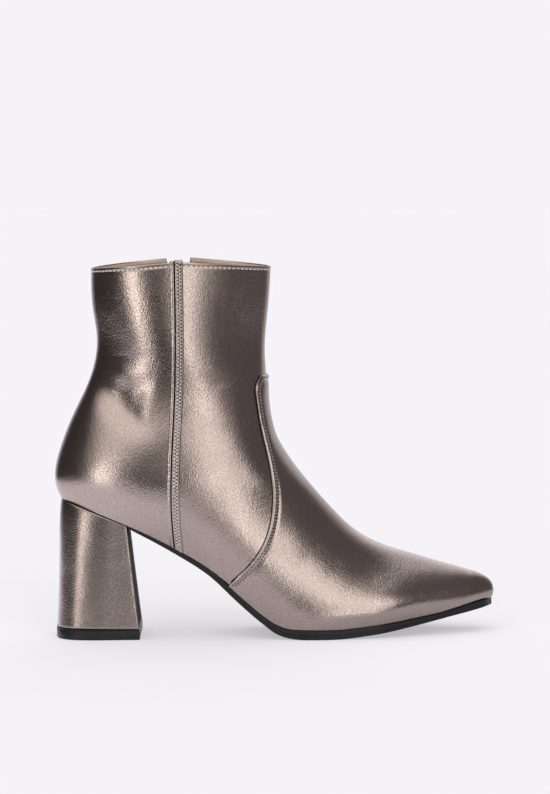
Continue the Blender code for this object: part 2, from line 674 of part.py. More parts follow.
def main():
    clear_scene()
    boot = new_collection("ankle_boot")
    cutters = new_collection("cutters")
    pewter = finish_material("pewter_leather", (0.30, 0.26, 0.24), 0.30, 0.85)
    lining = finish_material("beige_lining", (0.62, 0.50, 0.38), 0.70, 0.0)
    rubber = finish_material("black_rubber", (0.02, 0.02, 0.022), 0.45, 0.0)
    cloth = finish_material("zip_cloth", (0.20, 0.18, 0.17), 0.80, 0.0)
    steel = finish_material("zip_steel", (0.60, 0.58, 0.56), 0.30, 1.0)
    build_upper(boot, cutters, pewter)
    build_vamp(boot, cutters, pewter)
    build_side_strip(boot, pewter)
    build_outsole(boot, rubber)
    build_insole(boot, lining)
    build_heel(boot, pewter)
    build_heel_lift(boot, rubber)
    depth = WALL + 2 * GAP + ZIP_TAPE
    zip_band("zip_tape", ZIP_TAPE_WIDTH, *ZIP_TAPE_Z, depth, ZIP_TAPE, 12, 5, boot, cloth)
    zip_band("zip_teeth", ZIP_TEETH_WIDTH, *ZIP_TEETH_Z, WALL, ZIP_TEETH, 14, 2, boot, steel)
    build_zip_slider(boot, cutters, steel)
    build_zip_pull(boot, steel)


main()
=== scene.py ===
import math
from functools import partial

import bmesh
import bpy
import numpy as np
from mathutils import Matrix, Vector, noise
from mathutils.bvhtree import BVHTree
from mathutils.kdtree import KDTree


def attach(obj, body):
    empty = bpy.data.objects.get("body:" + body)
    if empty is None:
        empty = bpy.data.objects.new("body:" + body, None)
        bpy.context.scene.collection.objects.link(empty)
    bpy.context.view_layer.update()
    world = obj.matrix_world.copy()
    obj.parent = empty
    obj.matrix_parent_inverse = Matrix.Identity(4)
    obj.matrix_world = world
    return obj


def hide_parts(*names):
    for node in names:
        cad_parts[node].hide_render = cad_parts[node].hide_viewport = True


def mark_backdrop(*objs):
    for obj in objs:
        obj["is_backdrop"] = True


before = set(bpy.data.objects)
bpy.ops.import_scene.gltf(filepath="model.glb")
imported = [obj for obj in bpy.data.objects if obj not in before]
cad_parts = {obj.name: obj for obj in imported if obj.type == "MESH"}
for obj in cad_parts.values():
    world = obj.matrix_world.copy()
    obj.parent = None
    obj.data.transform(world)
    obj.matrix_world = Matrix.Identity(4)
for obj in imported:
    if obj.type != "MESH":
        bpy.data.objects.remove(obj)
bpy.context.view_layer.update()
mm = 0.001
lateral, medial = -1, 1  # the outer side faces -Y, the inner side +Y
print("frame loaded:", sorted(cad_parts))

# The last that the boot is made on, in millimetres, as the solids have it
last = {
    "ballWidth": 79.0,
    "collarHeight": 210.0,
    "collarPeak": 4.3,
    "toeInflare": 9.0,
    "inflareStart": 20.0,
    "toeX": 225.0,
    "toeRound": 0.045,
    "wall": 1.7,
    "columns": ("frontX", "frontZ", "backX", "backZ", "lateral", "medial", "leanLateral", "leanMedial", "fullness"),
    "sections": (  # from above the collar, round the heel, to the toe
        (100.7, 218.0, -1.8, 218.0, 0.381, 0.381, 0.15, 0.15, -0.02),
        (98.3, 186.0, -1.2, 186.0, 0.390, 0.390, 0.12, 0.12, -0.14),
        (96.3, 163.0, 0.7, 166.0, 0.392, 0.392, 0.05, 0.05, -0.19),
        (97.0, 146.5, -4.2, 145.5, 0.380, 0.378, -0.09, -0.09, -0.11),
        (97.4, 132.5, -13.2, 126.7, 0.384, 0.379, -0.09, -0.10, 0.06),
        (99.3, 120.5, -20.3, 109.0, 0.415, 0.407, -0.07, -0.08, 0.06),
        (102.7, 110.2, -24.0, 88.5, 0.435, 0.425, -0.09, -0.09, 0.13),
        (107.3, 102.2, -18.6, 75.8, 0.443, 0.432, -0.09, -0.09, 0.13),
        (113.0, 93.8, -4.0, 62.0, 0.439, 0.427, -0.08, -0.10, 0.15),
        (119.7, 85.3, 18.5, 48.0, 0.433, 0.416, -0.06, -0.13, 0.01),
        (127.3, 76.3, 41.0, 32.0, 0.430, 0.412, -0.01, -0.12, -0.13),
        (135.7, 67.2, 63.0, 13.0, 0.433, 0.423, 0.05, -0.01, -0.13),
        (144.8, 58.6, 86.0, -5.0, 0.444, 0.439, 0.13, 0.11, -0.10),
        (155.6, 51.6, 109.0, -13.0, 0.458, 0.457, 0.24, 0.22, -0.09),
        (167.6, 46.6, 131.0, -11.0, 0.444, 0.452, 0.24, 0.22, -0.20),
        (180.6, 42.6, 153.5, -7.0, 0.409, 0.428, 0.25, 0.23, -0.24),
        (194.1, 38.4, 176.0, -1.5, 0.313, 0.334, 0.17, 0.15, -0.23),
        (207.0, 34.6, 197.5, 4.0, 0.214, 0.230, 0.13, 0.11, -0.19),
        (217.0, 32.2, 213.0, 9.6, 0.138, 0.148, 0.12, 0.10, -0.13),
        (225.0, 32.4, 225.0, 13.0, 0.090, 0.096, 0.09, 0.09, -0.11),
    ),
    "sole": (  # x, top, ground side
        (-24.0, 80.4, 79.3), (0.0, 71.8, 70.6), (19.0, 64.2, 62.6), (45.0, 51.2, 48.4), (63.0, 40.4, 36.7),
        (80.0, 25.4, 20.8), (94.0, 13.2, 8.6), (102.0, 8.0, 2.9), (110.0, 5.5, 0.6), (118.0, 5.2, 0.0),
        (134.0, 5.2, 0.0), (154.0, 6.8, 1.7), (180.0, 9.8, 5.7), (204.0, 13.4, 10.4), (230.0, 18.0, 15.4),
    ),
}


def naturalSpline(knots, values):  # smooth bends through the knots
    knots, values = np.asarray(knots, float), np.asarray(values, float)
    step, rise, count = np.diff(knots), np.diff(values), len(knots)
    matrix, right = np.eye(count), np.zeros(count)
    for i in range(1, count - 1):
        matrix[i, i - 1:i + 2] = step[i - 1], 2 * (step[i - 1] + step[i]), step[i]
        right[i] = 3 * (rise[i] / step[i] - rise[i - 1] / step[i - 1])
    bend = np.linalg.solve(matrix, right)
    slope = rise / step - step * (2 * bend[:-1] + bend[1:]) / 3
    twist = np.diff(bend) / (3 * step)

    def curve(at):
        at = np.asarray(at, float)
        i = np.clip(np.searchsorted(knots, at) - 1, 0, count - 2)
        d = at - knots[i]
        return values[i] + d * (slope[i] + d * (bend[i] + d * twist[i]))

    return curve


def levelSpline(knots, values):  # stays between its knots, so equal knots give a flat
    knots, values = np.asarray(knots, float), np.asarray(values, float)
    step = np.diff(knots)
    secant = np.diff(values) / step
    slope = np.zeros(len(knots))
    slope[0], slope[-1] = secant[0], secant[-1]
    for i in range(1, len(knots) - 1):
        if secant[i - 1] * secant[i] > 0:
            before, after = 2 * step[i] + step[i - 1], step[i] + 2 * step[i - 1]
            slope[i] = (before + after) / (before / secant[i - 1] + after / secant[i])

    def curve(at):
        i = np.clip(np.searchsorted(knots, at) - 1, 0, len(knots) - 2)
        s = (at - knots[i]) / step[i]
        start = values[i] * (1 + 2 * s) * (1 - s) ** 2 + slope[i] * step[i] * s * (1 - s) ** 2
        return start + values[i + 1] * s * s * (3 - 2 * s) + slope[i + 1] * step[i] * s * s * (s - 1)

    return curve


def bisect(function, low, high):  # where the function changes sign, for whole arrays
    low, high = np.broadcast_arrays(np.asarray(low, float), np.asarray(high, float))
    rising = function(low) > 0
    for _ in range(38):
        middle = (low + high) / 2
        same = (function(middle) > 0) == rising
        low, high = np.where(same, middle, low), np.where(same, high, middle)
    return (low + high) / 2


def smoothStep(low, high, value):
    share = np.clip((value - low) / (high - low), 0, 1)
    return share * share * (3 - 2 * share)


def crowded(low, high, count):  # places that crowd towards both ends
    return low + (high - low) * (1 - np.cos(np.linspace(0, math.pi, count))) / 2


sectionTable = dict(zip(last["columns"], np.array(last["sections"]).T))
fronts = np.column_stack([sectionTable["frontX"], sectionTable["frontZ"]])
backs = np.column_stack([sectionTable["backX"], sectionTable["backZ"]])
runs = sum(np.linalg.norm(np.diff(line, axis=0), axis=1) for line in (fronts, backs))
places = np.concatenate([[0.0], np.cumsum(runs)]) / np.sum(runs)
sectionCurves = {name: naturalSpline(places, values) for name, values in sectionTable.items()}
soleX, soleTopZ, soleBottomZ = np.array(last["sole"]).T
soleTop, soleBottom = levelSpline(soleX, soleTopZ), levelSpline(soleX, soleBottomZ)


def inflare(x):
    run = np.maximum(0.0, x - last["inflareStart"]) / (last["toeX"] - last["inflareStart"])
    return last["toeInflare"] * run ** 2


def lastPoint(place, turn, side):  # turn: 0 on the front centre line, pi at the back or bottom
    c = {name: curve(place) for name, curve in sectionCurves.items()}
    end = np.maximum(0.0, (place - 1 + last["toeRound"]) / last["toeRound"])
    rounding = np.sqrt(np.maximum(0.0, 1 - end ** 2))
    along = -np.cos(turn) * rounding
    x = (c["frontX"] + c["backX"]) / 2 + along * (c["backX"] - c["frontX"]) / 2
    z = (c["frontZ"] + c["backZ"]) / 2 + along * (c["backZ"] - c["frontZ"]) / 2
    outer = np.asarray(side) < 0
    half, lean = np.where(outer, c["lateral"], c["medial"]), np.where(outer, c["leanLateral"], c["leanMedial"])
    shape = 1 - lean * np.cos(turn) + c["fullness"] * np.cos(turn) ** 2
    y = side * half * last["ballWidth"] * rounding * np.sin(turn) * shape
    return np.stack([x, y + inflare(x), z], -1)


def unit(vectors):
    return vectors / np.maximum(np.linalg.norm(vectors, axis=-1, keepdims=True), 1e-9)


def lastFrame(place, turn, side):  # outward and upward-along-the-leather directions
    e = 1e-4
    place = np.clip(place, e, 1 - 6e-4)
    along = lastPoint(place + e, turn, side) - lastPoint(place - e, turn, side)
    around = lastPoint(place, turn + e, side) - lastPoint(place, turn - e, side)
    return unit(np.asarray(side)[..., None] * np.cross(along, around)), -unit(along)


def soleTurn(place, clearance=0.3):  # where a section meets the sole, or pi above it
    def height(turn):
        p = lastPoint(place, turn, lateral)
        return p[..., 2] - soleTop(p[..., 0]) - clearance

    closed = height(np.full(np.shape(place), math.pi)) > 0
    met = bisect(height, np.full(np.shape(place), math.pi / 2), math.pi)
    return np.where(closed, math.pi, met)


def collarEdge(turn):
    return last["collarHeight"] + last["collarPeak"] * (1 - np.abs(np.cos(turn)))


def collarPlace(turn, drop=0.0):  # where the collar edge, or a line below it, crosses the shaft
    def above(place):
        return lastPoint(place, turn, lateral)[..., 2] - (collarEdge(turn) - drop)

    return bisect(above, np.zeros(np.shape(turn)), places[2])


def sidePlace(x, z):  # the section and turn under a point of the side view
    x, z = np.asarray(x, float), np.asarray(z, float)

    def beside(place):
        c = {name: sectionCurves[name](place) for name in last["columns"][:4]}
        return (c["backX"] - c["frontX"]) * (z - c["frontZ"]) - (c["backZ"] - c["frontZ"]) * (x - c["frontX"])

    place = bisect(beside, np.zeros(x.shape), 1.0 - last["toeRound"])
    front, back = sectionCurves["frontX"](place), sectionCurves["backX"](place)
    return place, np.arccos(np.clip(-(2 * x - front - back) / (back - front), -1, 1))


heelPlace = float(bisect(lambda place: soleTurn(place) - math.pi + 1e-6, places[6], places[8]))

# Creases of the worn-in leather, drawn in the side view: points (x, z), depth, half widths above and below
creases = {
    "outer": (
        (((-2, 143.5), (10, 140), (20, 139), (35, 141.5)), -1.8, 6.5, 13.0),
        (((30.5, 146), (30.5, 133), (29, 121)), 0.3, 4.0, 4.0),
        (((-3, 155), (10, 152.5), (20, 151.5), (34, 153)), 0.5, 5.0, 4.5),
        (((-1, 161), (14, 160), (33, 161.5)), -0.16, 1.6, 1.6),
        (((58, 150), (70, 147), (82, 146)), -0.35, 4.5, 4.5),
        (((84, 199), (80, 186), (82, 172)), -0.16, 2.4, 2.4),
        (((74, 196), (71, 186), (74, 176)), -0.12, 2.0, 2.0),
        (((104, 96), (114, 84), (126, 72)), -0.22, 5.0, 5.0),
        (((112, 38), (120, 48), (134, 52)), -0.30, 5.0, 5.0),
        (((126, 30), (134, 40), (146, 43)), -0.20, 4.0, 4.0),
    ),
    "inner": (
        (((0, 141.5), (14, 139.0), (30, 140.0)), -1.1, 7.0, 6.0),
        (((62, 148), (72, 146), (84, 146)), -0.4, 4.5, 4.5),
        (((110, 42), (120, 50), (134, 53)), -0.30, 5.0, 5.0),
        (((128, 32), (136, 41), (146, 44)), -0.20, 4.0, 4.0),
    ),
    "dents": ((17.0, 129.5, 13.0, 6.5, -42.0, -1.9),),  # outer side: x, z, half length, half width, turn, depth
    "strokeFade": 1.2,  # how soon a stroke fades to its ends
    "sideFade": (0.05, 0.45),  # no creases on the centre lines
    "soleFade": (1.0, 9.0),  # pulled tight over the sole's edge
    "collarFade": (0.0, 8.0), "collarRise": 2.0, "collarShare": 0.35,
    "wave": 0.16,  # slow unevenness of the hide
    "waveSize": 24.0,
    "pucker": 0.035,  # finer unevenness
    "puckerSize": 6.0,
    "collarChannel": (2.0, 0.55, 0.25),  # drop below the edge, half width, depth under the stitches
    "channelFrom": 200.0,
}


def strokeDistance(x, z, line):  # distance to a drawn line, and the share of its run
    best, share = np.full(x.shape, 1e9), np.zeros(x.shape)
    line = np.array(line, float)
    for i, (a, b) in enumerate(zip(line, line[1:])):
        way = b - a
        t = np.clip(((x - a[0]) * way[0] + (z - a[1]) * way[1]) / (way @ way), 0, 1)
        d = np.hypot(x - a[0] - t * way[0], z - a[1] - t * way[1])
        near = d < best
        best, share = np.where(near, d, best), np.where(near, (i + t) / (len(line) - 1), share)
    return best, share


def softNoise(points, size, seed):
    flat = points.reshape(-1, 3) / size + seed * 17.3
    return np.array([noise.noise(Vector(p)) for p in flat]).reshape(points.shape[:-1])


def hideRelief(points, turn, side):  # creases and unevenness, along the outward direction
    x, z = points[..., 0], points[..., 2]
    inward = smoothStep(*creases["sideFade"], np.sin(turn))
    relief = creases["wave"] * softNoise(points, creases["waveSize"], 1)
    relief = relief + creases["pucker"] * softNoise(points, creases["puckerSize"], 2)
    for name, sign in (("outer", lateral), ("inner", medial)):
        for line, depth, above, below in creases[name]:
            d, share = strokeDistance(x, z, line)
            along, height = np.array(sorted(line), float).T
            width = np.where(z > np.interp(x, along, height), above, below)
            fade = np.sin(np.clip(share, 0, 1) * math.pi) ** creases["strokeFade"]
            relief = relief + np.where(side == sign, depth * fade * np.exp(-(d / width) ** 2), 0.0) * inward
    for x0, z0, length, width, angle, depth in creases["dents"]:
        c, s = math.cos(math.radians(angle)), math.sin(math.radians(angle))
        far, wide = (x - x0) * c + (z - z0) * s, (z - z0) * c - (x - x0) * s
        dent = depth * np.exp(-(far / length) ** 2 - (wide / width) ** 2)
        relief = relief + np.where(side == lateral, dent, 0.0) * inward
    low = smoothStep(*creases["soleFade"], z - soleTop(x))
    high = smoothStep(*creases["collarFade"], last["collarHeight"] + creases["collarRise"] - z)
    drop, width, depth = creases["collarChannel"]
    dip = depth * np.exp(-((collarEdge(turn) - z - drop) / width) ** 2)
    channel = np.where(z > creases["channelFrom"], dip, 0.0)
    least = creases["collarShare"]
    return relief * low * (least + (1 - least) * high) - channel


def sideSurface(x, z, sign):  # under a side view: points, outward, upward and the leather's relief
    place, turn = sidePlace(x, z)
    side = np.full(place.shape, sign)
    points = lastPoint(place, turn, side)
    return points, *lastFrame(place, turn, side), hideRelief(points, turn, side)


def addObject(name, data):
    made = bpy.data.objects.new(name, data)
    bpy.context.scene.collection.objects.link(made)
    return made


def bakedMesh(piece):  # its mesh with the modifiers applied
    return bpy.data.meshes.new_from_object(piece.evaluated_get(bpy.context.evaluated_depsgraph_get()))


def meshPiece(name, points, faces, materials, smoothAngle=45, weld=0.003, faceMaterials=None):
    mesh = bpy.data.meshes.new(name)
    mesh.from_pydata((np.asarray(points) * mm).tolist(), [], [tuple(f) for f in faces])
    for material in materials:
        mesh.materials.append(material)
    if faceMaterials is not None:
        mesh.polygons.foreach_set("material_index", np.asarray(faceMaterials, np.int32))
    bm = bmesh.new()
    bm.from_mesh(mesh)
    bmesh.ops.remove_doubles(bm, verts=bm.verts, dist=weld * mm)
    bmesh.ops.dissolve_degenerate(bm, edges=bm.edges, dist=weld * mm)
    if bm.calc_volume(signed=True) < 0:
        bmesh.ops.reverse_faces(bm, faces=bm.faces)
    bm.to_mesh(mesh)
    bm.free()
    mesh.shade_smooth()
    mesh.set_sharp_from_angle(angle=math.radians(smoothAngle))
    return addObject(name, mesh)


def quads(index):
    a, b, c, d = index[:-1, :-1], index[:-1, 1:], index[1:, 1:], index[1:, :-1]
    return np.stack([a, b, c, d], -1).reshape(-1, 4).tolist()


def shellPiece(name, outer, inner, materials, smoothAngle=45, values=None):  # a closed wall between two grids
    rows, columns = outer.shape[:2]
    index = np.arange(rows * columns).reshape(rows, columns)
    under = index + rows * columns
    faces = quads(index) + [f[::-1] for f in quads(under)]
    for i, sign in ((0, 1), (rows - 1, -1)):
        for j in range(columns - 1):
            faces.append((index[i, j], under[i, j], under[i, j + 1], index[i, j + 1])[::sign])
    apart = np.linalg.norm(outer[:, 0] - outer[:, -1], axis=-1) > 0.02
    for j, sign in ((0, -1), (columns - 1, 1)):
        for i in range(rows - 1):
            if apart[i] or apart[i + 1]:
                faces.append((index[i, j], under[i, j], under[i + 1, j], index[i + 1, j])[::sign])
    points = np.concatenate([outer.reshape(-1, 3), inner.reshape(-1, 3)])
    piece = meshPiece(name, points, faces, materials, smoothAngle)
    if values is not None:  # a value that fades over the piece, such as the near-black edge paint and painted gap shadow
        label, function = values
        layer = piece.data.attributes.new(label, "FLOAT", "POINT")
        layer.data.foreach_set("value", [function(v.co / mm) for v in piece.data.vertices])
    return piece


def ringPiece(name, rings, materials, smoothAngle=35, faceMaterial=None):  # closed rings lofted, both ends filled
    rings = np.asarray(rings, float)
    count, size = rings.shape[:2]
    index = np.arange(count * size).reshape(count, size)
    faces, kinds = [], []
    for i in range(count - 1):
        for j in range(size):
            k = (j + 1) % size
            faces.append((index[i, j], index[i, k], index[i + 1, k], index[i + 1, j]))
            kinds.append(faceMaterial(j) if faceMaterial else 0)
    for i, sign in ((0, -1), (count - 1, 1)):
        for j in range(size // 2 - 1):
            faces.append((index[i, j], index[i, j + 1], index[i, size - 2 - j], index[i, size - 1 - j])[::sign])
            kinds.append(0)
    return meshPiece(name, rings.reshape(-1, 3), faces, materials, smoothAngle, faceMaterials=kinds)


def cutWith(piece, outline, low, high):  # takes a prism out of a piece; outline in the side view
    count = len(outline)
    points = [(x, y, z) for y in (low, high) for x, z in outline]
    faces = [tuple(range(count))[::-1], tuple(range(count, 2 * count))]
    faces += [(i, (i + 1) % count, count + (i + 1) % count, count + i) for i in range(count)]
    cutter = meshPiece("cutter", points, faces, [])
    step = piece.modifiers.new("slot", "BOOLEAN")
    step.object, step.operation, step.solver = cutter, "DIFFERENCE", "MANIFOLD"
    mesh = bakedMesh(piece)
    piece.modifiers.clear()
    old, piece.data = piece.data, mesh
    mesh.name = piece.name
    bpy.data.meshes.remove(old)
    bpy.data.objects.remove(cutter, do_unlink=True)
    return piece


# Materials
def startMaterial(name, colour, roughness, metallic=0.0, **more):
    material = bpy.data.materials.new(name)
    material.use_nodes = True
    shader = material.node_tree.nodes["Principled BSDF"]
    for socket, value in {"Base Color": (*colour, 1.0), "Roughness": roughness, "Metallic": metallic, **more}.items():
        shader.inputs[socket].default_value = value
    return material, shader


def addNode(owner, kind, inputs=(), **settings):  # for a material, a world or a node group
    tree = getattr(owner, "node_tree", owner)
    node = tree.nodes.new(kind)
    for name, value in settings.items():
        setattr(node, name, value)
    for name, value in dict(inputs).items():
        if isinstance(value, bpy.types.NodeSocket):
            tree.links.new(value, node.inputs[name])
        else:
            node.inputs[name].default_value = value
    return node


def maths(owner, operation, first, second=0.0):
    return addNode(owner, "ShaderNodeMath", {0: first, 1: second}, operation=operation).outputs[0]


def objectPlace(material):
    return addNode(material, "ShaderNodeTexCoord").outputs["Object"]


def noiseField(material, place, scale, detail=2.0, roughness=0.5):
    made = addNode(material, "ShaderNodeTexNoise",
                   {"Vector": place, "Scale": scale, "Detail": detail, "Roughness": roughness})
    return made.outputs["Fac"]


def spread(material, value, low=0.0, high=1.0, fromLow=0.3, fromHigh=0.7):
    made = addNode(material, "ShaderNodeMapRange", {
        "Value": value, "From Min": fromLow, "From Max": fromHigh, "To Min": low, "To Max": high})
    return made.outputs["Result"]


def blendColours(owner, share, first, second):
    made = addNode(owner, "ShaderNodeMix", data_type="RGBA")
    sockets = {s.identifier: s for s in made.inputs}
    for key, value in (("Factor_Float", share), ("A_Color", first), ("B_Color", second)):
        if isinstance(value, bpy.types.NodeSocket):
            link(owner, value, sockets[key])
        else:
            sockets[key].default_value = (*value, 1.0)
    return next(s for s in made.outputs if s.identifier == "Result_Color")


def tint(material, shader, share, first, second):  # the piece's colour, from one tone to another
    link(material, blendColours(material, share, first, second), shader.inputs["Base Color"])


def addBumps(material, shader, fields):  # fields: (height, strength, distance in mm)
    normal = None
    for height, strength, distance in fields:
        inputs = {"Height": height, "Strength": strength, "Distance": distance * mm}
        if normal:
            inputs["Normal"] = normal
        normal = addNode(material, "ShaderNodeBump", inputs).outputs["Normal"]
    link(material, normal, shader.inputs["Normal"])


def link(owner, output, socket):
    owner.node_tree.links.new(output, socket)


pewter = {
    "colour": (0.44, 0.359, 0.322),
    "deep": (0.418, 0.340, 0.305),
    "cloud": 22.0, "patches": 45.0, "worn": (19.0, 0.42, 0.68),  # scales, and where wrinkles show
    # random dark specks: partly grain tone, partly painted shade in the grain's pits
    "speckPitShade": (1150.0, 0.80),  # scale, share of the tone left in the pits
    # near-black along the vamp's edge and behind the strip: edge paint at the vamp, and painted shadow of the gaps at
    # both
    "darkEdgeAndGapShadow": (0.020, 0.016, 0.015),
    "roughness": (0.205, 0.24),
    "warp": (60.0, 0.005),  # scale, reach in metres
    "grain": (1240.0, 0.9, 0.088),  # scale, strength, depth in mm
    "pore": (1030.0, 0.7, 0.062),
    "wrinkle": (150.0, 0.5, 0.05), "wrinkleWidth": 0.12,
}


def warpedPlace(material):  # object coordinates bent a little, so that no noise lattice shows as rings
    place = objectPlace(material)
    scale, reach = pewter["warp"]
    drift = addNode(material, "ShaderNodeTexNoise", {"Vector": place, "Scale": scale, "Detail": 1.0}).outputs["Color"]
    return addNode(material, "ShaderNodeVectorMath", {0: drift, 1: (reach,) * 3, 2: place},
                   operation="MULTIPLY_ADD").outputs[0]


def makePewter(name, grain=1.0, gloss=0.0, shade=1.0):  # foil-coated leather
    material, shader = startMaterial(name, pewter["colour"], 0.3, 1.0)
    place, warped = objectPlace(material), warpedPlace(material)
    # a shade below 1 darkens both tones: painted shade, for a shaded copy of the leather
    full, deep = (tuple(c * shade for c in pewter[tone]) for tone in ("colour", "deep"))
    tone = blendColours(material, spread(material, noiseField(material, place, pewter["cloud"], 1.0)), deep, full)
    scale, dim = pewter["speckPitShade"]
    # painted shade in the pits, mixed with random grain tone
    speckPitShade = spread(material, noiseField(material, warped, scale, 1.0))
    tone = blendColours(material, speckPitShade, tuple(c * dim for c in deep), tone)
    # painted shadow and edge paint: near the marked edges the tone turns near-black
    edge = addNode(material, "ShaderNodeAttribute", attribute_name="darkEdgeAndGapShadow").outputs["Fac"]
    tint(material, shader, edge, tone, pewter["darkEdgeAndGapShadow"])
    low, high = (r - gloss for r in pewter["roughness"])
    patches = noiseField(material, place, pewter["patches"], 1.0)
    link(material, spread(material, patches, low, high), shader.inputs["Roughness"])
    (scale, strength, depth), (wornScale, few, many) = pewter["wrinkle"], pewter["worn"]
    ridge = maths(material, "ABSOLUTE", maths(material, "SUBTRACT", noiseField(material, warped, scale, 2.0), 0.5))
    lines = spread(material, ridge, 0.0, 1.0, 0.0, pewter["wrinkleWidth"])
    worn = spread(material, noiseField(material, place, wornScale, 1.0), 0.0, 1.0, few, many)  # only here and there
    fields = [(maths(material, "MULTIPLY", lines, worn), strength, depth)]
    scale, strength, depth = pewter["pore"]
    pores = addNode(material, "ShaderNodeTexVoronoi", {"Vector": warped, "Scale": scale}, feature="F1")
    fields.append((pores.outputs["Distance"], strength * grain, depth))
    scale, strength, depth = pewter["grain"]
    fields.append((noiseField(material, warped, scale, 2.0, 0.6), strength * grain, depth))
    addBumps(material, shader, fields)
    return material


def makeLining():
    material, shader = startMaterial("beigeLiningPaintedShade", (0.66, 0.51, 0.38), 0.6)
    place = objectPlace(material)
    mottle = noiseField(material, place, 120.0, 4.0)
    # both tones darkened by about a fifth: painted shade for the boot's inside
    tint(material, shader, spread(material, mottle), (0.47, 0.345, 0.25), (0.60, 0.46, 0.345))
    pores = addNode(material, "ShaderNodeTexVoronoi", {"Vector": place, "Scale": 900.0}).outputs["Distance"]
    addBumps(material, shader, ((pores, 0.4, 0.05), (noiseField(material, place, 2200.0), 0.3, 0.03)))
    return material


def makeRubber(name, tone, roughness, gleam=0.33):
    material, shader = startMaterial(name, (tone, tone, tone * 1.05), roughness, **{"Specular IOR Level": gleam})
    place = objectPlace(material)
    scuffs = noiseField(material, place, 260.0, 5.0, 0.65)
    tint(material, shader, spread(material, scuffs, 0, 1, 0.4, 0.8), (tone,) * 3, (tone * 1.7,) * 3)
    link(material, spread(material, scuffs, roughness - 0.08, roughness + 0.12), shader.inputs["Roughness"])
    addBumps(material, shader, ((noiseField(material, place, 1500.0, 2.0), 0.25, 0.03),))
    return material


def makeThread(name, colour):
    material, shader = startMaterial(name, colour, 0.6, **{"Sheen Weight": 0.25})
    place = objectPlace(material)
    fibre = noiseField(material, place, 3200.0, 2.0)
    tint(material, shader, spread(material, fibre), tuple(c * 0.75 for c in colour), colour)
    addBumps(material, shader, ((fibre, 0.5, 0.05),))
    return material


def makeZipCloth():
    material, shader = startMaterial("zipCloth", (0.2, 0.18, 0.17), 0.8)
    place = objectPlace(material)
    ribs = addNode(material, "ShaderNodeTexWave", {"Vector": place, "Scale": 420.0, "Distortion": 0.4},
                   wave_type="BANDS", bands_direction="Z").outputs["Fac"]
    tint(material, shader, ribs, (0.15, 0.135, 0.127), (0.24, 0.215, 0.2))
    addBumps(material, shader, ((ribs, 0.6, 0.12), (noiseField(material, place, 2600.0), 0.3, 0.05)))
    return material


def makeSteel():
    material, shader = startMaterial("zipSteel", (0.62, 0.6, 0.57), 0.28, 1.0)
    place = objectPlace(material)
    wear = noiseField(material, place, 500.0, 4.0, 0.6)
    link(material, spread(material, wear, 0.2, 0.38), shader.inputs["Roughness"])
    tint(material, shader, spread(material, wear), (0.52, 0.5, 0.475), (0.66, 0.64, 0.61))
    addBumps(material, shader, ((noiseField(material, place, 1800.0), 0.2, 0.02),))
    return material


leather = makePewter("pewterLeather")
# the heel's cover: the same pewter leather with its tones at 0.80, a painted shade
heelLeatherShadedCopy = makePewter("pewterHeelLeatherPaintedShade", 0.9, -0.02, 0.80)
# the heel breast in black: partly a black breast flap, partly painted shade for a breast that stands in shadow
breastBlackAndShade = makeRubber("blackBreastAndPaintedShade", 0.006, 0.75, 0.08)
liningLeatherShaded = makeLining()
blackSole = makeRubber("blackSole", 0.006, 0.38)
blackEdge = makeRubber("blackSoleEdge", 0.008, 0.32)
liftRubber = makeRubber("blackLift", 0.005, 0.36)
paleThread = makeThread("paleThread", (0.86, 0.82, 0.80))
greyThread = makeThread("greyThread", (0.34, 0.30, 0.28))
brownThread = makeThread("brownThread", (0.10, 0.065, 0.045))
# near-black pits at the stitch holes: painted shade inside the needle holes
needleHoleShade = makeThread("needleHoleShade", (0.016, 0.013, 0.012))
zipCloth = makeZipCloth()
zipSteel = makeSteel()
print("materials made")

# Upper leather and its lining
upperSettings = {
    "shaftRows": 106, "footRows": 112, "columns": 169,
    "leather": 1.0, "lining": 0.62, "liningDrop": 1.0,
    "liningShaftRows": 60, "liningFootRows": 60, "liningColumns": 97, "rollSteps": 5,
    "topRows": 16, "topShare": 0.04,  # rows crowded under the collar
    "slotX": 47.0, "slotHalf": 4.7, "slotFoot": 68.0, "notchHalf": 7.25, "notchZ": 203.0,
    "cutY": (14, 60), "liningGrow": 0.6, "liningGap": 0.04,
}


def upperGrid(shaftRows, footRows, columns, drop):  # place, turn and side over the whole upper
    across = np.linspace(-1, 1, columns)
    share, side = np.abs(across), np.where(across < 0, lateral, medial)
    start = collarPlace(share * math.pi, drop)
    few, end = upperSettings["topRows"], upperSettings["topShare"]
    down = np.concatenate([np.linspace(0, end, few, endpoint=False),
                           np.linspace(end, 1, shaftRows - few, endpoint=False)])[:, None]
    shaft = start + (heelPlace - start) * down
    foot = crowded(heelPlace, 1.0, footRows)
    footTurn = soleTurn(foot)
    place = np.concatenate([shaft, np.repeat(foot[:, None], columns, 1)])
    turn = np.concatenate([np.repeat(share[None] * math.pi, shaftRows, 0), share * footTurn[:, None]])
    return place, turn, np.broadcast_to(side, place.shape)


def rolledWall(place, turn, side, near, thickness, steps):  # outer and inner grids with a rounded top edge
    points = lastPoint(place, turn, side)
    outward, upward = lastFrame(place, turn, side)
    relief = hideRelief(points, turn, side)[..., None]
    outer, inner = points + outward * (relief - near), points + outward * (relief - near - thickness)
    middle, radius = (outer[0] + inner[0]) / 2, thickness / 2
    angles = np.radians(np.linspace(90, 0, steps, endpoint=False))

    def arc(sign):
        return [middle + sign * outward[0] * radius * math.cos(a) + upward[0] * radius * math.sin(a) for a in angles]

    return np.concatenate([arc(1), outer]), np.concatenate([arc(-1), inner])


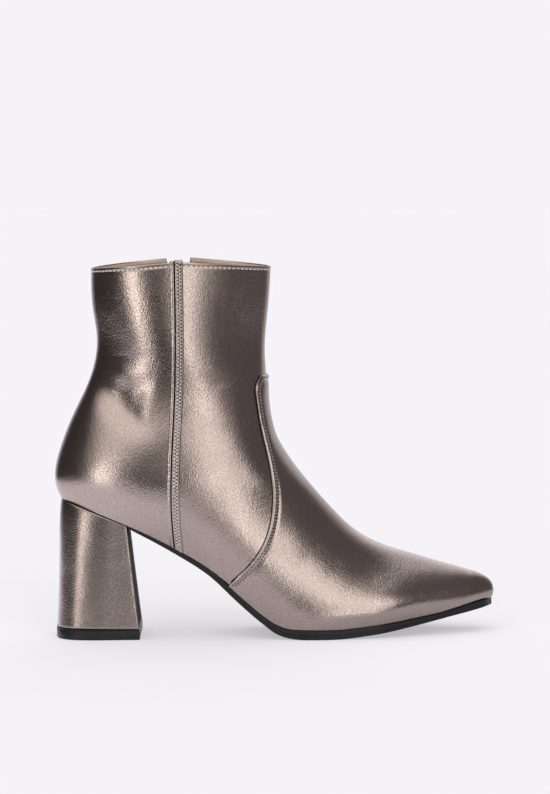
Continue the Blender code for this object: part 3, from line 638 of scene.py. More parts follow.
def slotOutline(grow):
    s = upperSettings
    half, notch, top = s["slotHalf"] + grow, s["notchHalf"] + grow, last["collarHeight"] + last["collarPeak"]
    reach = notch + (notch - half) * 4 / (top - s["notchZ"])
    arc = np.radians(np.linspace(180, 360, 13))
    outline = [(s["slotX"] + half * math.cos(a), s["slotFoot"] + s["slotHalf"] + half * math.sin(a)) for a in arc]
    outline += [(s["slotX"] + half, s["notchZ"]), (s["slotX"] + reach, top + 4)]
    return outline + [(s["slotX"] - reach, top + 4), (s["slotX"] - half, s["notchZ"])]


def makeUpper():
    s = upperSettings
    grid = upperGrid(s["shaftRows"], s["footRows"], s["columns"], s["leather"] / 2)
    upper = shellPiece("upperLeather", *rolledWall(*grid, 0.0, s["leather"], s["rollSteps"]), [leather], 60)
    grid = upperGrid(s["liningShaftRows"], s["liningFootRows"], s["liningColumns"], s["liningDrop"])
    walls = rolledWall(*grid, s["leather"] + s["liningGap"], s["lining"], 3)
    lining = shellPiece("shaftLining", *walls, [liningLeatherShaded], 60)
    cutWith(upper, slotOutline(0.0), *s["cutY"])
    cutWith(lining, slotOutline(s["liningGrow"]), *s["cutY"])
    return upper, lining


upper, lining = makeUpper()
print("upper and lining made:", len(upper.data.polygons), len(lining.data.polygons))

# Vamp: the leather ahead of a curved edge, lapped over the upper
vampSettings = {
    "edge": ((28.0, 69.0), (38.5, 81.5), (56.0, 94.6), (68.0, 98.4), (81.0, 99.6), (106.0, 96.3), (121.0, 92.9),
             (136.0, 90.7), (144.0, 90.9), (148.6, 93.6)),  # z, x
    "topZ": 148.6, "rows": 211, "columns": 151, "soleGap": 1.0,
    # width of the near-black band at the vamp's edge, partly edge paint and partly painted shadow of the lap
    "lift": 1.25, "roll": 1.4, "puff": 0.32, "furrow": 0.34, "darkEdgeAndGapShadow": 0.85,
    "puffAt": (1.7, 0.85), "furrowAt": (3.7, 1.0),  # distance from the seam, half width
    "stitchRows": (2.45, 3.75), "pitch": 1.95,
    "gapEnd": (0.88, 0.95), "toeSeat": 0.5,  # the toe comes down onto the sole, by section and turn
    "seatTurn": (2.1, 2.9), "seatStart": (0.93, 0.97), "seatEnd": (0.985, 1.0), "joinColumns": 3,
}
vampEdgeX = naturalSpline(*np.array(vampSettings["edge"]).T)


def vampTurn(place):  # where a section leaves the vamp
    def inside(turn):
        p = lastPoint(place, turn, lateral)
        return p[..., 0] - vampEdgeX(np.clip(p[..., 2], vampSettings["edge"][0][0], vampSettings["topZ"]))

    return bisect(inside, np.full(np.shape(place), 0.02), 2.6)


def makeVamp():
    s = vampSettings
    top = float(bisect(lambda place: sectionCurves["frontZ"](place) - s["topZ"], places[2], places[5]))
    rows = (crowded(top, 1.0, s["rows"]) + np.linspace(top, 1.0, s["rows"])) / 2
    seam, sole = vampTurn(rows), soleTurn(rows, s["soleGap"] * (1 - smoothStep(*s["gapEnd"], rows)))
    reach = np.minimum(seam, sole)
    signed = reach[:, None] * crowded(-1.0, 1.0, s["columns"])[None]
    place, turn = np.repeat(rows[:, None], s["columns"], 1), np.abs(signed)
    side = np.where(signed < 0, lateral, medial)
    points = lastPoint(place, turn, side)
    outward, _ = lastFrame(place, turn, side)
    relief = hideRelief(points, turn, side)
    foot = float(bisect(lambda z: z - soleTop(vampEdgeX(z)) - s["soleGap"], s["edge"][0][0], s["edge"][3][0]))
    heights = np.linspace(s["topZ"], foot, 1500)
    border = {}
    for name, sign in (("lateral", lateral), ("medial", medial)):
        seamPlace, seamTurn = sidePlace(vampEdgeX(heights), heights)
        border[name] = lastPoint(seamPlace, seamTurn, np.full(heights.shape, sign))
    even = np.linspace(0, s["columns"] - 1, 900)
    border["top"] = np.column_stack([np.interp(even, np.arange(s["columns"]), points[0][:, i]) for i in range(3)])
    allPoints = np.concatenate(list(border.values()))
    tree = KDTree(len(allPoints))
    for i, p in enumerate(allPoints):
        tree.insert(Vector(p), i)
    tree.balance()
    near = np.array([tree.find(Vector(p))[2] for p in points.reshape(-1, 3)]).reshape(turn.shape)
    roll = np.sqrt(1 - (1 - np.minimum(near / s["roll"], 1)) ** 2)
    (puffAt, puffHalf), (furrowAt, furrowHalf) = s["puffAt"], s["furrowAt"]
    height = s["lift"] * roll + s["puff"] * np.exp(-((near - puffAt) / puffHalf) ** 2) * roll
    height -= s["furrow"] * np.exp(-((near - furrowAt) / furrowHalf) ** 2)
    outer = points + outward * (relief + height + 0.04)[..., None]
    inner = points + outward * (relief + 0.03)[..., None]
    closed, join = reach > math.pi - 0.01, s["joinColumns"]
    seated = smoothStep(*s["seatTurn"], turn) * smoothStep(*s["seatStart"], place)
    seated = seated * (1 - smoothStep(*s["seatEnd"], place))
    for surface in (outer, inner):  # the toe's underside closes and comes down onto the sole
        spare = np.maximum(0.0, surface[..., 2] - soleTop(surface[..., 0]) - s["toeSeat"])
        surface[..., 2] -= spare * seated
        for column in range(join):
            middle = (surface[closed, column] + surface[closed, -1 - column]) / 2
            for edge in (column, -1 - column):
                surface[closed, edge] += (middle - surface[closed, edge]) * (join - column) / join
        surface[-1] = surface[-1].mean(0)

    # near-black at the vamp's edge: partly edge paint, partly painted shadow of the lap over the quarter
    def darkEdgeAndGapShadow(co):
        return 1.0 - smoothStep(s["darkEdgeAndGapShadow"] * 0.5, s["darkEdgeAndGapShadow"] * 1.6, tree.find(co)[2])

    return shellPiece("vampLeather", outer, inner, [leather], 60, ("darkEdgeAndGapShadow", darkEdgeAndGapShadow)), border


vamp, vampBorder = makeVamp()
print("vamp made:", len(vamp.data.polygons))

# Strip over the outer side seam, turned over the collar
stripSettings = {
    "edge": ((48.0, 44.6), (77.0, 42.9), (137.0, 45.2), (216.0, 45.9)),  # z, x of its back edge
    "profile": (  # distance from the back edge, height: rolled panel edge, gap, then the strip
        (-2.6, -0.25), (-2.3, 0.04), (-1.9, 0.22), (-1.4, 0.42), (-0.95, 0.48), (-0.52, 0.36), (-0.42, 0.12),
        (-0.36, 0.05), (-0.06, 0.05), (0.04, 0.16), (0.24, 0.50), (0.52, 0.78), (0.98, 0.92), (1.4, 0.84), (1.75, 0.72),
        (2.1, 0.84), (2.5, 0.95), (2.9, 0.86), (3.25, 0.72), (3.65, 0.86), (4.0, 0.94), (4.3, 0.84), (4.58, 0.55),
        (4.74, 0.20), (4.8, -0.25)),
    "groove": (-0.45, 0.14),
    "rows": 190, "turnSteps": 12, "inside": 3.0, "stitchRows": (1.75, 3.25), "pitch": 1.95, "deep": 0.3,
}
stripEdgeX = naturalSpline(*np.array(stripSettings["edge"]).T)


def makeStrip():
    s = stripSettings
    across, lift = np.array(s["profile"]).T
    topZ = last["collarHeight"] + last["collarPeak"] - 0.5
    foot = bisect(lambda z: z - soleTop(stripEdgeX(z) + across) - 0.7, np.full(across.shape, 20.0), 120.0)
    down = np.linspace(0, 1, s["rows"])[:, None]
    z = topZ + (foot - topZ) * down
    x = stripEdgeX(z) + across
    points, outward, upward, relief = sideSurface(x, z, lateral)
    outer = points + outward * (relief + lift)[..., None]
    inner = points + outward * (relief - s["deep"])[..., None]
    base, crest = points[0] + outward[0] * relief[0][:, None], last["wall"] / 2
    middle = base - outward[0] * crest

    def over(angle, height):
        reach = (crest + height)[:, None]
        return middle + outward[0] * reach * math.cos(angle) + upward[0] * reach * math.sin(angle)

    angles = np.linspace(math.pi, 0, s["turnSteps"], endpoint=False)
    flat = np.full(across.shape, -s["deep"])

    def turnedIn(height, grid):
        ends = [over(math.pi, height) - upward[0] * s["inside"] * k for k in (1.0, 0.5)]
        return np.concatenate([ends, [over(a, height) for a in angles], grid])

    outer, inner = turnedIn(lift, outer), turnedIn(flat, inner)

    def darkEdgeAndGapShadow(co):  # painted shadow: the gap behind the strip, painted near-black
        beside = co[0] - float(stripEdgeX(min(co[2], 214.0)))
        return float(s["groove"][0] < beside < s["groove"][1])

    return shellPiece("sideStrip", outer, inner, [leather], 50, ("darkEdgeAndGapShadow", darkEdgeAndGapShadow))


strip = makeStrip()
print("side strip made:", len(strip.data.polygons))

# Sole outline: where the upper's sides meet the sole
outlines = {}
for side in (lateral, medial):
    run = np.linspace(places[6], 1.0, 500)
    turns = soleTurn(run)
    line = lastPoint(run, turns, side)[turns < math.pi - 1e-6]
    outlines[side] = line[:, :2]
outlineBack = min(line[0, 0] for line in outlines.values())
outlineFront = max(line[-1, 0] for line in outlines.values())


def outlineY(x, side, margin):
    line, middle = outlines[side], inflare(x)
    low, high = outlineBack - margin, outlineFront + margin
    inside = outlineBack + (x - low) / (high - low) * (outlineFront - outlineBack)
    half = np.abs(np.interp(inside, line[:, 0], line[:, 1]) - middle)
    share = np.sqrt(np.minimum(1.0, half / (2 * np.abs(margin) + 1e-9)))  # no margin left at the very ends
    return middle + side * np.maximum(0.0, half + margin * share)


soleSettings = {
    "marginSeat": -2.6, "seatEnd": (17.5, 24.0),  # hidden by the heel's cover
    "marginBack": 0.2, "marginFront": 1.8, "ramp": (58.0, 88.0),
    "tip": 0.9, "tipRamp": (192.0, 220.0), "tipRound": 5.0, "tipLeast": 0.3, "toeLip": 1.4,
    "stations": 190, "step": 0.55, "band": 0.45, "round": 0.3, "bandEdge": (0.1, -0.12),
}


def makeOutsole():
    s = soleSettings
    x = crowded(outlineBack - s["marginSeat"], outlineFront + s["marginFront"] + s["tip"], s["stations"])
    margin = s["marginBack"] + (s["marginFront"] - s["marginBack"]) * smoothStep(*s["ramp"], x)
    margin = margin + s["tip"] * smoothStep(*s["tipRamp"], x)
    margin = margin + (s["marginSeat"] - s["marginBack"]) * (1 - smoothStep(*s["seatEnd"], x))
    top, bottom = soleTop(x) + s["toeLip"] * smoothStep(*s["tipRamp"], x), soleBottom(x)
    thick = top - bottom
    edge = np.minimum(s["round"], thick * 0.2)
    band = top - s["band"] * thick
    toTip = np.clip((x[-1] - x) / s["tipRound"], 0, 1)
    middle, narrowing = inflare(x), s["tipLeast"] + (1 - s["tipLeast"]) * np.sqrt(1 - (1 - toTip) ** 2)
    above, below = s["bandEdge"]
    sides = []
    for side in (lateral, medial):
        outer, drawn = outlineY(x, side, margin), outlineY(x, side, margin - s["step"])
        inset, low = outlineY(x, side, margin - edge), outlineY(x, side, margin - s["step"] - edge)
        profile = ((inset, top), (outer, top - edge), (outer, band + above), (drawn, band + below),
                   (drawn, bottom + edge), (low, bottom))
        sides.append([np.column_stack([x, middle + (y - middle) * narrowing, z]) for y, z in profile])
    rings = np.stack(sides[0] + sides[1][::-1], 1)
    lighter = {0, 1, 2, 8, 9, 10}
    return ringPiece("outsole", rings, [blackSole, blackEdge], 30, lambda j: 1 if j in lighter else 0)


insoleSettings = {"inset": 3.5, "thickness": 1.8, "rows": 120, "columns": 25, "dish": 1.1}


def makeInsole():
    s = insoleSettings
    x = crowded(outlineBack + s["inset"], outlineFront - s["inset"], s["rows"])
    left, right = outlineY(x, lateral, -s["inset"]), outlineY(x, medial, -s["inset"])
    share = np.linspace(0, 1, s["columns"])
    y = left[:, None] + (right - left)[:, None] * share
    low = np.repeat((soleTop(x) + 0.3)[:, None], s["columns"], 1)
    crown = s["thickness"] * np.sqrt(1 - np.clip(np.abs(2 * share - 1), 0, 1) ** 14) + s["dish"] * (2 * share - 1) ** 2
    xs = np.repeat(x[:, None], s["columns"], 1)
    outer = np.stack([xs, y, low + crown - 0.4 * s["dish"]], -1)
    return shellPiece("insoleSock", outer, np.stack([xs, y, low], -1), [liningLeatherShaded], 60)


heelSettings = {
    "bottomX": (-23.7, 23.0), "topX": (-21.9, 16.6), "bottomHalf": 26.6, "topHalf": 22.9, "waisting": 1.0,
    "roundness": (3.2, 2.2), "tuck": 1.4, "reach": (0.68, 0.80), "taper": -0.6, "liftTaper": 1.2,
    "cover": 1.3, "edgeRoll": 0.9, "lip": 5, "inset": 1.4, "setBack": -0.25, "levels": 46, "stations": 60,
    "height": 62, "bulge": (0.10, 9.0), "breastLevels": 30, "breastStations": 40,
    "liftHeight": 6.0, "liftX": (-24.0, 24.0), "liftHalf": 27.0, "gap": 0.25, "liftStations": 60,
    "liftProfile": ((0.0, 0.7), (0.18, 0.28), (0.6, 0.0), (4.9, 0.0), (5.15, 0.12), (5.3, 0.5), (5.55, 0.5),
                    (5.7, 0.1), (6.05, 0.1), (6.12, 0.4)),  # height, inset
}


def heelPlan(share, level):
    low, high = heelSettings["roundness"]
    power = low + (high - low) * level
    near, far = heelSettings["reach"]
    return (1 - (1 - np.minimum(1.0, share / (near + (far - near) * level))) ** power) ** (1 / power)


def heelPoint(share, level, side, inset=0.0, setBack=0.0, rise=0.0):  # share: 0 at the back, 1 at the breast
    s = heelSettings
    (lowBack, lowFront), (highBack, highFront) = s["bottomX"], s["topX"]
    back = lowBack + (highBack - lowBack) * (1 - (1 - level) ** 3) + s["tuck"] * level ** 10 + inset
    front = lowFront + (highFront - lowFront) * level - setBack
    x = back + (front - back) * share
    half = s["bottomHalf"] + (s["topHalf"] - s["bottomHalf"]) * level - inset
    half = half - s["waisting"] * np.sin(math.pi * level) - s["taper"] * np.maximum(0.0, share - 0.4)
    low, high = s["liftHeight"] + s["gap"], soleBottom(x) - s["gap"] + rise * (soleTop(x) - soleBottom(x))
    return np.stack([x, side * half * heelPlan(share, level), low + (high - low) * level], -1)


def makeHeel():
    s = heelSettings
    level = crowded(0, 1, s["levels"])[:, None]
    around = np.linspace(-1, 1, 2 * s["stations"] + 1)
    share, side = 1 - np.cos(np.abs(around) * math.pi / 2), np.where(around < 0, lateral, medial)
    level, share = np.broadcast_arrays(level, share[None])
    side = np.broadcast_to(side, level.shape)
    insets = (0.0, s["cover"])
    outer, inner = (heelPoint(share, level, side, inset, rise=1.0) for inset in insets)  # over the seat's edge
    bulge = s["bulge"][0] * softNoise(outer, s["bulge"][1], 5)[..., None]
    bulge = bulge * np.minimum(1, np.minimum(level, 1 - level) * 8)[..., None]
    outer = outer + bulge * unit(outer * (1, 1, 0))
    for toEdge in (1 - level, level):  # the cover turns in at its top and bottom edges
        near = np.clip(toEdge * s["height"] / s["edgeRoll"], 0, 1)
        outer = outer - s["edgeRoll"] * (1 - np.sqrt(1 - (1 - near) ** 2))[..., None] * unit(outer * (1, 1, 0))
    radius = s["cover"] / 2
    angles = np.radians(np.linspace(90, 0, s["lip"], endpoint=False))

    def lips(grid, sign):
        ends = []
        for column, neighbour in ((0, 1), (-1, -2)):
            middle = (outer[:, column] + inner[:, column]) / 2
            out = unit(outer[:, column] - inner[:, column])
            ahead = unit(outer[:, column] - outer[:, neighbour])
            ends.append([middle + sign * out * radius * math.cos(a) + ahead * radius * math.sin(a) for a in angles])
        first, final = np.stack(ends[0], 1), np.stack(ends[1][::-1], 1)
        return np.concatenate([first, grid, final], 1)

    cover = shellPiece("heelCover", lips(outer, 1), lips(inner, -1), [heelLeatherShadedCopy], 50)
    rings = []
    for height in np.linspace(0, 1, s["breastLevels"]):
        line = 1 - np.cos(np.linspace(0, 1, s["breastStations"]) * math.pi / 2)
        flat = np.full(line.shape, height)
        left = heelPoint(line[::-1], flat, lateral, s["inset"], s["setBack"])
        right = heelPoint(line, flat, medial, s["inset"], s["setBack"])
        rings.append(np.concatenate([left, right[1:], right[-1:]]))
    block = ringPiece("heelBreast", rings, [breastBlackAndShade], 35)
    rings = []
    for z, inset in s["liftProfile"]:
        line = 1 - np.cos(np.linspace(0, 1, s["liftStations"]) * math.pi / 2)
        x = s["liftX"][0] + inset + (s["liftX"][1] - s["liftX"][0] - 2 * inset) * line
        half = (s["liftHalf"] - inset - s["liftTaper"] * np.maximum(0, line - 0.4)) * heelPlan(line, 0.0)
        left, right = (np.column_stack([x, k * half, np.full(x.shape, z)]) for k in (lateral, medial))
        rings.append(np.concatenate([left[::-1], right[1:], right[-1:]]))
    lift = ringPiece("heelLift", rings, [liftRubber], 30)
    return cover, block, lift


outsole, insole = makeOutsole(), makeInsole()
heelCover, heelBreast, heelLift = makeHeel()
print("sole, sock and heel made")

# Zip on the inner side
zipSettings = {
    "x": 47.0, "tapeWidth": 21.0, "tape": 0.7, "tapeDepth": 3.0, "tapeZ": (60.0, 205.0),
    "tapeRows": 150, "tapeColumns": 33, "bead": (0.35, 2.6, 0.6), "seat": 0.1,
    "teethDepth": 1.25, "teethZ": (71.0, 196.0), "toothReach": 2.5, "toothLap": 0.55, "toothPitch": 1.9,
}


def makeTape():
    s = zipSettings
    up, across = np.meshgrid(np.linspace(*s["tapeZ"], s["tapeRows"]), np.linspace(-0.5, 0.5, s["tapeColumns"]),
                             indexing="ij")
    points, outward, _, relief = sideSurface(s["x"] + s["tapeWidth"] * across, up, medial)
    height, beside, width = s["bead"]
    cord = height * np.exp(-((np.abs(across) * s["tapeWidth"] - beside) / width) ** 2)  # the tape's beaded edge
    outer = points + outward * (np.minimum(relief, 0) - s["tapeDepth"] + s["tape"] + cord - s["seat"])[..., None]
    inner = points + outward * (np.minimum(relief, 0) - s["tapeDepth"] - s["seat"])[..., None]
    return shellPiece("zipTape", outer, inner, [zipCloth], 60)


zipTape = makeTape()


def bevelledCopy(node, name, width, material):  # a CAD node's shape with softened edges
    bm = bmesh.new()
    bm.from_mesh(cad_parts[node].data)
    bmesh.ops.remove_doubles(bm, verts=bm.verts, dist=0.00001)
    bmesh.ops.dissolve_limit(bm, angle_limit=math.radians(2), verts=bm.verts, edges=bm.edges)
    mesh = bpy.data.meshes.new(name)
    bm.to_mesh(mesh)
    bm.free()
    mesh.materials.clear()
    mesh.materials.append(material)
    piece = addObject(name, mesh)
    step = piece.modifiers.new("softEdge", "BEVEL")
    step.width, step.segments, step.limit_method, step.angle_limit = width * mm, 3, "ANGLE", math.radians(30)
    step.use_clamp_overlap = True
    piece.data = bakedMesh(piece)
    piece.data.name = name
    piece.modifiers.clear()
    piece.data.shade_smooth()
    piece.data.set_sharp_from_angle(angle=math.radians(35))
    return piece


zipSlider = bevelledCopy("zip_slider", "zipSlider", 0.22, zipSteel)
zipPull = bevelledCopy("zip_pull", "zipPull", 0.3, zipSteel)
print("zip made")


# Geometry Nodes: arched threads and needle holes on a row of points
def threadTree(thread, hole):
    tree = bpy.data.node_groups.new("threadRow", "GeometryNodeTree")
    tree.interface.new_socket("Geometry", in_out="INPUT", socket_type="NodeSocketGeometry")
    for name, value in (("Length", 0.002), ("Radius", 0.0003), ("Arch", 0.0006), ("Sink", 0.0002), ("Hole", 0.0003)):
        tree.interface.new_socket(name, in_out="INPUT", socket_type="NodeSocketFloat").default_value = value
    tree.interface.new_socket("Seed", in_out="INPUT", socket_type="NodeSocketInt").default_value = 3
    tree.interface.new_socket("Geometry", in_out="OUTPUT", socket_type="NodeSocketGeometry")

    node, times = partial(addNode, tree), partial(maths, tree, "MULTIPLY")

    def named(label, kind):
        return node("GeometryNodeInputNamedAttribute", {"Name": label}, data_type=kind).outputs["Attribute"]

    def vector(x, z):
        return node("ShaderNodeCombineXYZ", {"X": x, "Z": z}).outputs[0]

    given = node("NodeGroupInput").outputs
    sunk = times(given["Sink"], -1.0)
    arc = node("GeometryNodeCurveQuadraticBezier", {
        "Resolution": 6, "Start": vector(times(given["Length"], -0.5), sunk),
        "Middle": vector(0.0, given["Arch"]), "End": vector(times(given["Length"], 0.5), sunk)})
    ring = node("GeometryNodeCurvePrimitiveCircle", {"Resolution": 6, "Radius": given["Radius"]})
    cord = node("GeometryNodeCurveToMesh", {
        "Curve": arc.outputs[0], "Profile Curve": ring.outputs[0], "Fill Caps": True})
    smooth = node("GeometryNodeSetShadeSmooth", {0: cord.outputs[0]})
    pit = node("GeometryNodeMeshIcoSphere", {"Radius": given["Hole"], "Subdivisions": 1})
    facing = node("FunctionNodeAxesToRotation", {
        "Primary Axis": named("outward", "FLOAT_VECTOR"), "Secondary Axis": named("along", "FLOAT_VECTOR")},
        primary_axis="Z", secondary_axis="X").outputs[0]
    isHole = named("hole", "BOOLEAN")
    isThread = node("FunctionNodeBooleanMath", {0: isHole}, operation="NOT").outputs[0]
    size = node("FunctionNodeRandomValue", {"Min": (0.92, 0.88, 0.85), "Max": (1.05, 1.08, 1.1), "Seed": given["Seed"]},
                data_type="FLOAT_VECTOR").outputs[0]
    shaped = []
    for shape, chosen, material, scale in ((smooth, isThread, thread, size), (pit, isHole, hole, (1.5, 0.9, 0.45))):
        placed = node("GeometryNodeInstanceOnPoints", {
            "Points": given["Geometry"], "Selection": chosen, "Instance": shape.outputs[0], "Rotation": facing,
            "Scale": scale})
        real = node("GeometryNodeRealizeInstances", {0: placed.outputs[0]})
        shaped.append(node("GeometryNodeSetMaterial", {"Geometry": real.outputs[0], "Material": material}).outputs[0])
    joined = node("GeometryNodeJoinGeometry")
    for output in shaped:
        tree.links.new(output, joined.inputs[0])
    node("NodeGroupOutput", {0: joined.outputs[0]})
    return tree


def threadPiece(name, rows, tree, sizes):  # rows: lists of (point, outward, along, is it a hole)
    entries = [entry for row in rows for entry in row]
    mesh = bpy.data.meshes.new(name + "Path")
    mesh.from_pydata([tuple(np.array(e[0]) * mm) for e in entries], [], [])
    for label, place in (("outward", 1), ("along", 2)):
        layer = mesh.attributes.new(label, "FLOAT_VECTOR", "POINT")
        layer.data.foreach_set("vector", np.array([e[place] for e in entries], float).ravel())
    layer = mesh.attributes.new("hole", "BOOLEAN", "POINT")
    layer.data.foreach_set("value", [e[3] for e in entries])
    path = addObject(name + "Path", mesh)
    step = path.modifiers.new("thread", "NODES")
    step.node_group = tree
    for item in tree.interface.items_tree:
        if item.in_out == "INPUT" and item.name in sizes:
            scale = 1 if item.name == "Seed" else mm
            step[item.identifier] = sizes[item.name] * scale
    made = bakedMesh(path)
    for label in ("outward", "along", "hole"):
        if made.attributes.get(label):
            made.attributes.remove(made.attributes[label])
    made.name = name
    bpy.data.objects.remove(path, do_unlink=True)
    return addObject(name, made)


def surfaceTree(piece):
    bm = bmesh.new()
    bm.from_mesh(piece.data)
    made = BVHTree.FromBMesh(bm)
    bm.free()
    return made


def stitchRow(line, carrier, pitch, shift=0.0, reach=3.0, towards=None):  # stitches and holes on a carrier along a line
    line = np.asarray(line, float)
    run = np.concatenate([[0], np.cumsum(np.linalg.norm(np.diff(line, axis=0), axis=1))])
    row = []

    def at(distance):
        return np.array([np.interp(distance, run, line[:, i]) for i in range(3)])

    count = int((run[-1] - shift) / pitch)
    for k in range(count):
        middle, start = shift + (k + 0.5) * pitch, shift + k * pitch
        along = unit(at(middle + 0.4) - at(middle - 0.4))
        for distance, isHole in ((middle, False), (start, True)):
            hit = carrier.find_nearest(Vector(at(distance) * mm), reach * mm)
            if hit[0] is None:
                continue
            outward = np.array(hit[1])
            if towards is not None and outward @ towards(at(distance)) < 0:
                continue
            row.append((np.array(hit[0]) / mm, outward, along, isHole))
    return row


def offsetBorder(line, distance):  # a line on the vamp at a distance from its seam
    middle = np.array([line[i] for i in range(0, len(line), 8)])
    way = unit(np.gradient(middle, axis=0))
    place, turn = sidePlace(middle[:, 0], middle[:, 2])
    side = np.where(middle[:, 1] < 0, lateral, medial)
    outward, _ = lastFrame(place, turn, side)
    inwards = np.cross(outward, way)
    ahead = inwards[len(inwards) // 2][0] > 0
    return middle + (1 if ahead else -1) * inwards * distance + outward * vampSettings["lift"]


paleRow = threadTree(paleThread, needleHoleShade)
greyRow = threadTree(greyThread, needleHoleShade)
brownRow = threadTree(brownThread, brownThread)
zipRow = threadTree(zipSteel, zipSteel)


stitchSizes = {
    "vamp": {"Length": 1.1, "Radius": 0.26, "Arch": 0.5, "Sink": 0.14, "Hole": 0.52, "Seed": 3},
    "strip": {"Length": 1.05, "Radius": 0.28, "Arch": 0.5, "Sink": 0.14, "Hole": 0.56, "Seed": 5},
    "collar": {"Length": 1.75, "Radius": 0.33, "Arch": 0.6, "Sink": 0.12, "Hole": 0.46, "Seed": 7},
    "teeth": {"Radius": 0.52, "Arch": 0.55, "Sink": 0.25, "Hole": 0.1, "Seed": 4},
}
stitchSizes["lining"] = {**stitchSizes["collar"], "Radius": 0.27, "Hole": 0.2}
stitchSizes["zip"] = {**stitchSizes["collar"], "Seed": 9}
seamSettings = {
    "collarDrop": 2.0, "liningDrop": 2.9, "liningDepth": 1.7, "collarPitch": 2.8, "collarStart": 0.4,
    "notchClear": 1.2, "stripMiddle": 1.4, "stripClear": 3.6, "fewest": 8,
    "zipZ": (70.0, 203.0), "zipBeside": 2.2, "zipPitch": 2.6, "zipStart": 0.6,
    "stripZ": (-0.8, 53.0), "soleClear": 1.5,
}


def makeStitches():
    s, t, u = vampSettings, stripSettings, seamSettings
    carrier = surfaceTree(vamp)
    rows = []
    for name in ("lateral", "medial"):
        for i, distance in enumerate(s["stitchRows"]):
            rows.append(stitchRow(offsetBorder(vampBorder[name], distance), carrier, s["pitch"], i * s["pitch"] / 2))
    vampStitches = threadPiece("vampStitches", rows, greyRow, stitchSizes["vamp"])
    carrier, rows = surfaceTree(strip), []
    for i, distance in enumerate(t["stitchRows"]):
        z = np.linspace(last["collarHeight"] + last["collarPeak"] + u["stripZ"][0], u["stripZ"][1], 200)
        x = stripEdgeX(z) + distance
        points, outward, _, _ = sideSurface(x, z, lateral)
        line = (points + outward)[z > soleTop(x) + u["soleClear"]]
        rows.append(stitchRow(line, carrier, t["pitch"], i * t["pitch"] / 2))
    stripStitches = threadPiece("stripStitches", rows, paleRow, stitchSizes["strip"])
    collarRows = {}
    for name, drop, near, piece in (("collar", u["collarDrop"], 0.0, upper),
                                    ("lining", u["liningDrop"], u["liningDepth"], lining)):
        carrier = surfaceTree(piece)
        across = np.linspace(-0.995, 0.995, 700)
        turn, side = np.abs(across) * math.pi, np.where(across < 0, lateral, medial)
        place = collarPlace(turn, drop)
        outward, _ = lastFrame(place, turn, side)
        line = lastPoint(place, turn, side) - outward * near
        inside = np.abs(line[:, 0] - upperSettings["slotX"]) < upperSettings["notchHalf"] + u["notchClear"]
        onStrip = np.abs(line[:, 0] - stripEdgeX(last["collarHeight"]) - u["stripMiddle"]) < u["stripClear"]
        blocked = (inside & (side == medial)) | (onStrip & (side == lateral) & (name == "collar"))
        starts = np.flatnonzero(np.diff(np.concatenate([[True], blocked, [True]]).astype(int)))
        collarRows[name] = [stitchRow(line[a:b], carrier, u["collarPitch"], u["collarStart"])
                            for a, b in zip(starts[::2], starts[1::2]) if b - a > u["fewest"]]
    collarStitches = threadPiece("collarStitches", collarRows["collar"], paleRow, stitchSizes["collar"])
    liningStitches = threadPiece("liningStitches", collarRows["lining"], brownRow, stitchSizes["lining"])
    carrier, rows = surfaceTree(upper), []
    for sign in (-1, 1):
        z = np.linspace(*u["zipZ"], 220)
        x = np.full(z.shape, upperSettings["slotX"] + sign * (upperSettings["slotHalf"] + u["zipBeside"]))
        rows.append(stitchRow(sideSurface(x, z, medial)[0], carrier, u["zipPitch"], u["zipStart"]))
    zipStitches = threadPiece("zipStitches", rows, greyRow, stitchSizes["zip"])
    return vampStitches, stripStitches, collarStitches, liningStitches, zipStitches


def makeTeeth():
    s, rows = zipSettings, []
    for sign, shift in ((-1, 0.0), (1, 0.5)):
        z = np.arange(s["teethZ"][0] + shift * s["toothPitch"], s["teethZ"][1], s["toothPitch"])
        x = np.full(z.shape, s["x"] + sign * (s["toothReach"] - s["toothLap"]) / 2)
        points, outward, upward, relief = sideSurface(x, z, medial)
        points = points + outward * (np.minimum(relief, 0)[:, None] - s["teethDepth"] - s["seat"])
        rows.append([(p, o, np.cross(u, o), False) for p, o, u in zip(points, outward, upward)])
    return threadPiece("zipTeeth", rows, zipRow, {"Length": s["toothReach"] + s["toothLap"], **stitchSizes["teeth"]})


vampStitches, stripStitches, collarStitches, liningStitches, zipStitches = makeStitches()
zipTeeth = makeTeeth()
print("stitches and teeth made")

# What rides on what
onBoot = {
    "upperLeather": (upper, "pewter_leather", ["upper"]),
    "shaftLining": (lining, "beige_lining", []),
    "vampLeather": (vamp, "pewter_leather", ["vamp"]),
    "sideStrip": (strip, "pewter_leather", ["side_strip"]),
    "outsole": (outsole, "black_rubber", ["outsole"]),
    "insoleSock": (insole, "beige_lining", ["insole"]),
    "heelCover": (heelCover, "pewter_leather", ["heel"]),
    "heelBreast": (heelBreast, "black_rubber", []),
    "heelLift": (heelLift, "black_rubber", ["heel_lift"]),
    "zipTape": (zipTape, "zip_cloth", ["zip_tape"]),
    "zipTeeth": (zipTeeth, "zip_steel", ["zip_teeth"]),
    "zipSlider": (zipSlider, "zip_steel", ["zip_slider"]),
    "vampStitches": (vampStitches, "pewter_leather", []),
    "stripStitches": (stripStitches, "pewter_leather", []),
    "collarStitches": (collarStitches, "pewter_leather", []),
    "liningStitches": (liningStitches, "beige_lining", []),
    "zipStitches": (zipStitches, "pewter_leather", []),
}
for piece, slotName, nodes in onBoot.values():
    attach(piece, "boot")
    if nodes:
        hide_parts(*nodes)
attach(zipPull, "pull_tab")
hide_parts("zip_pull")
print("pieces ride on their bodies")

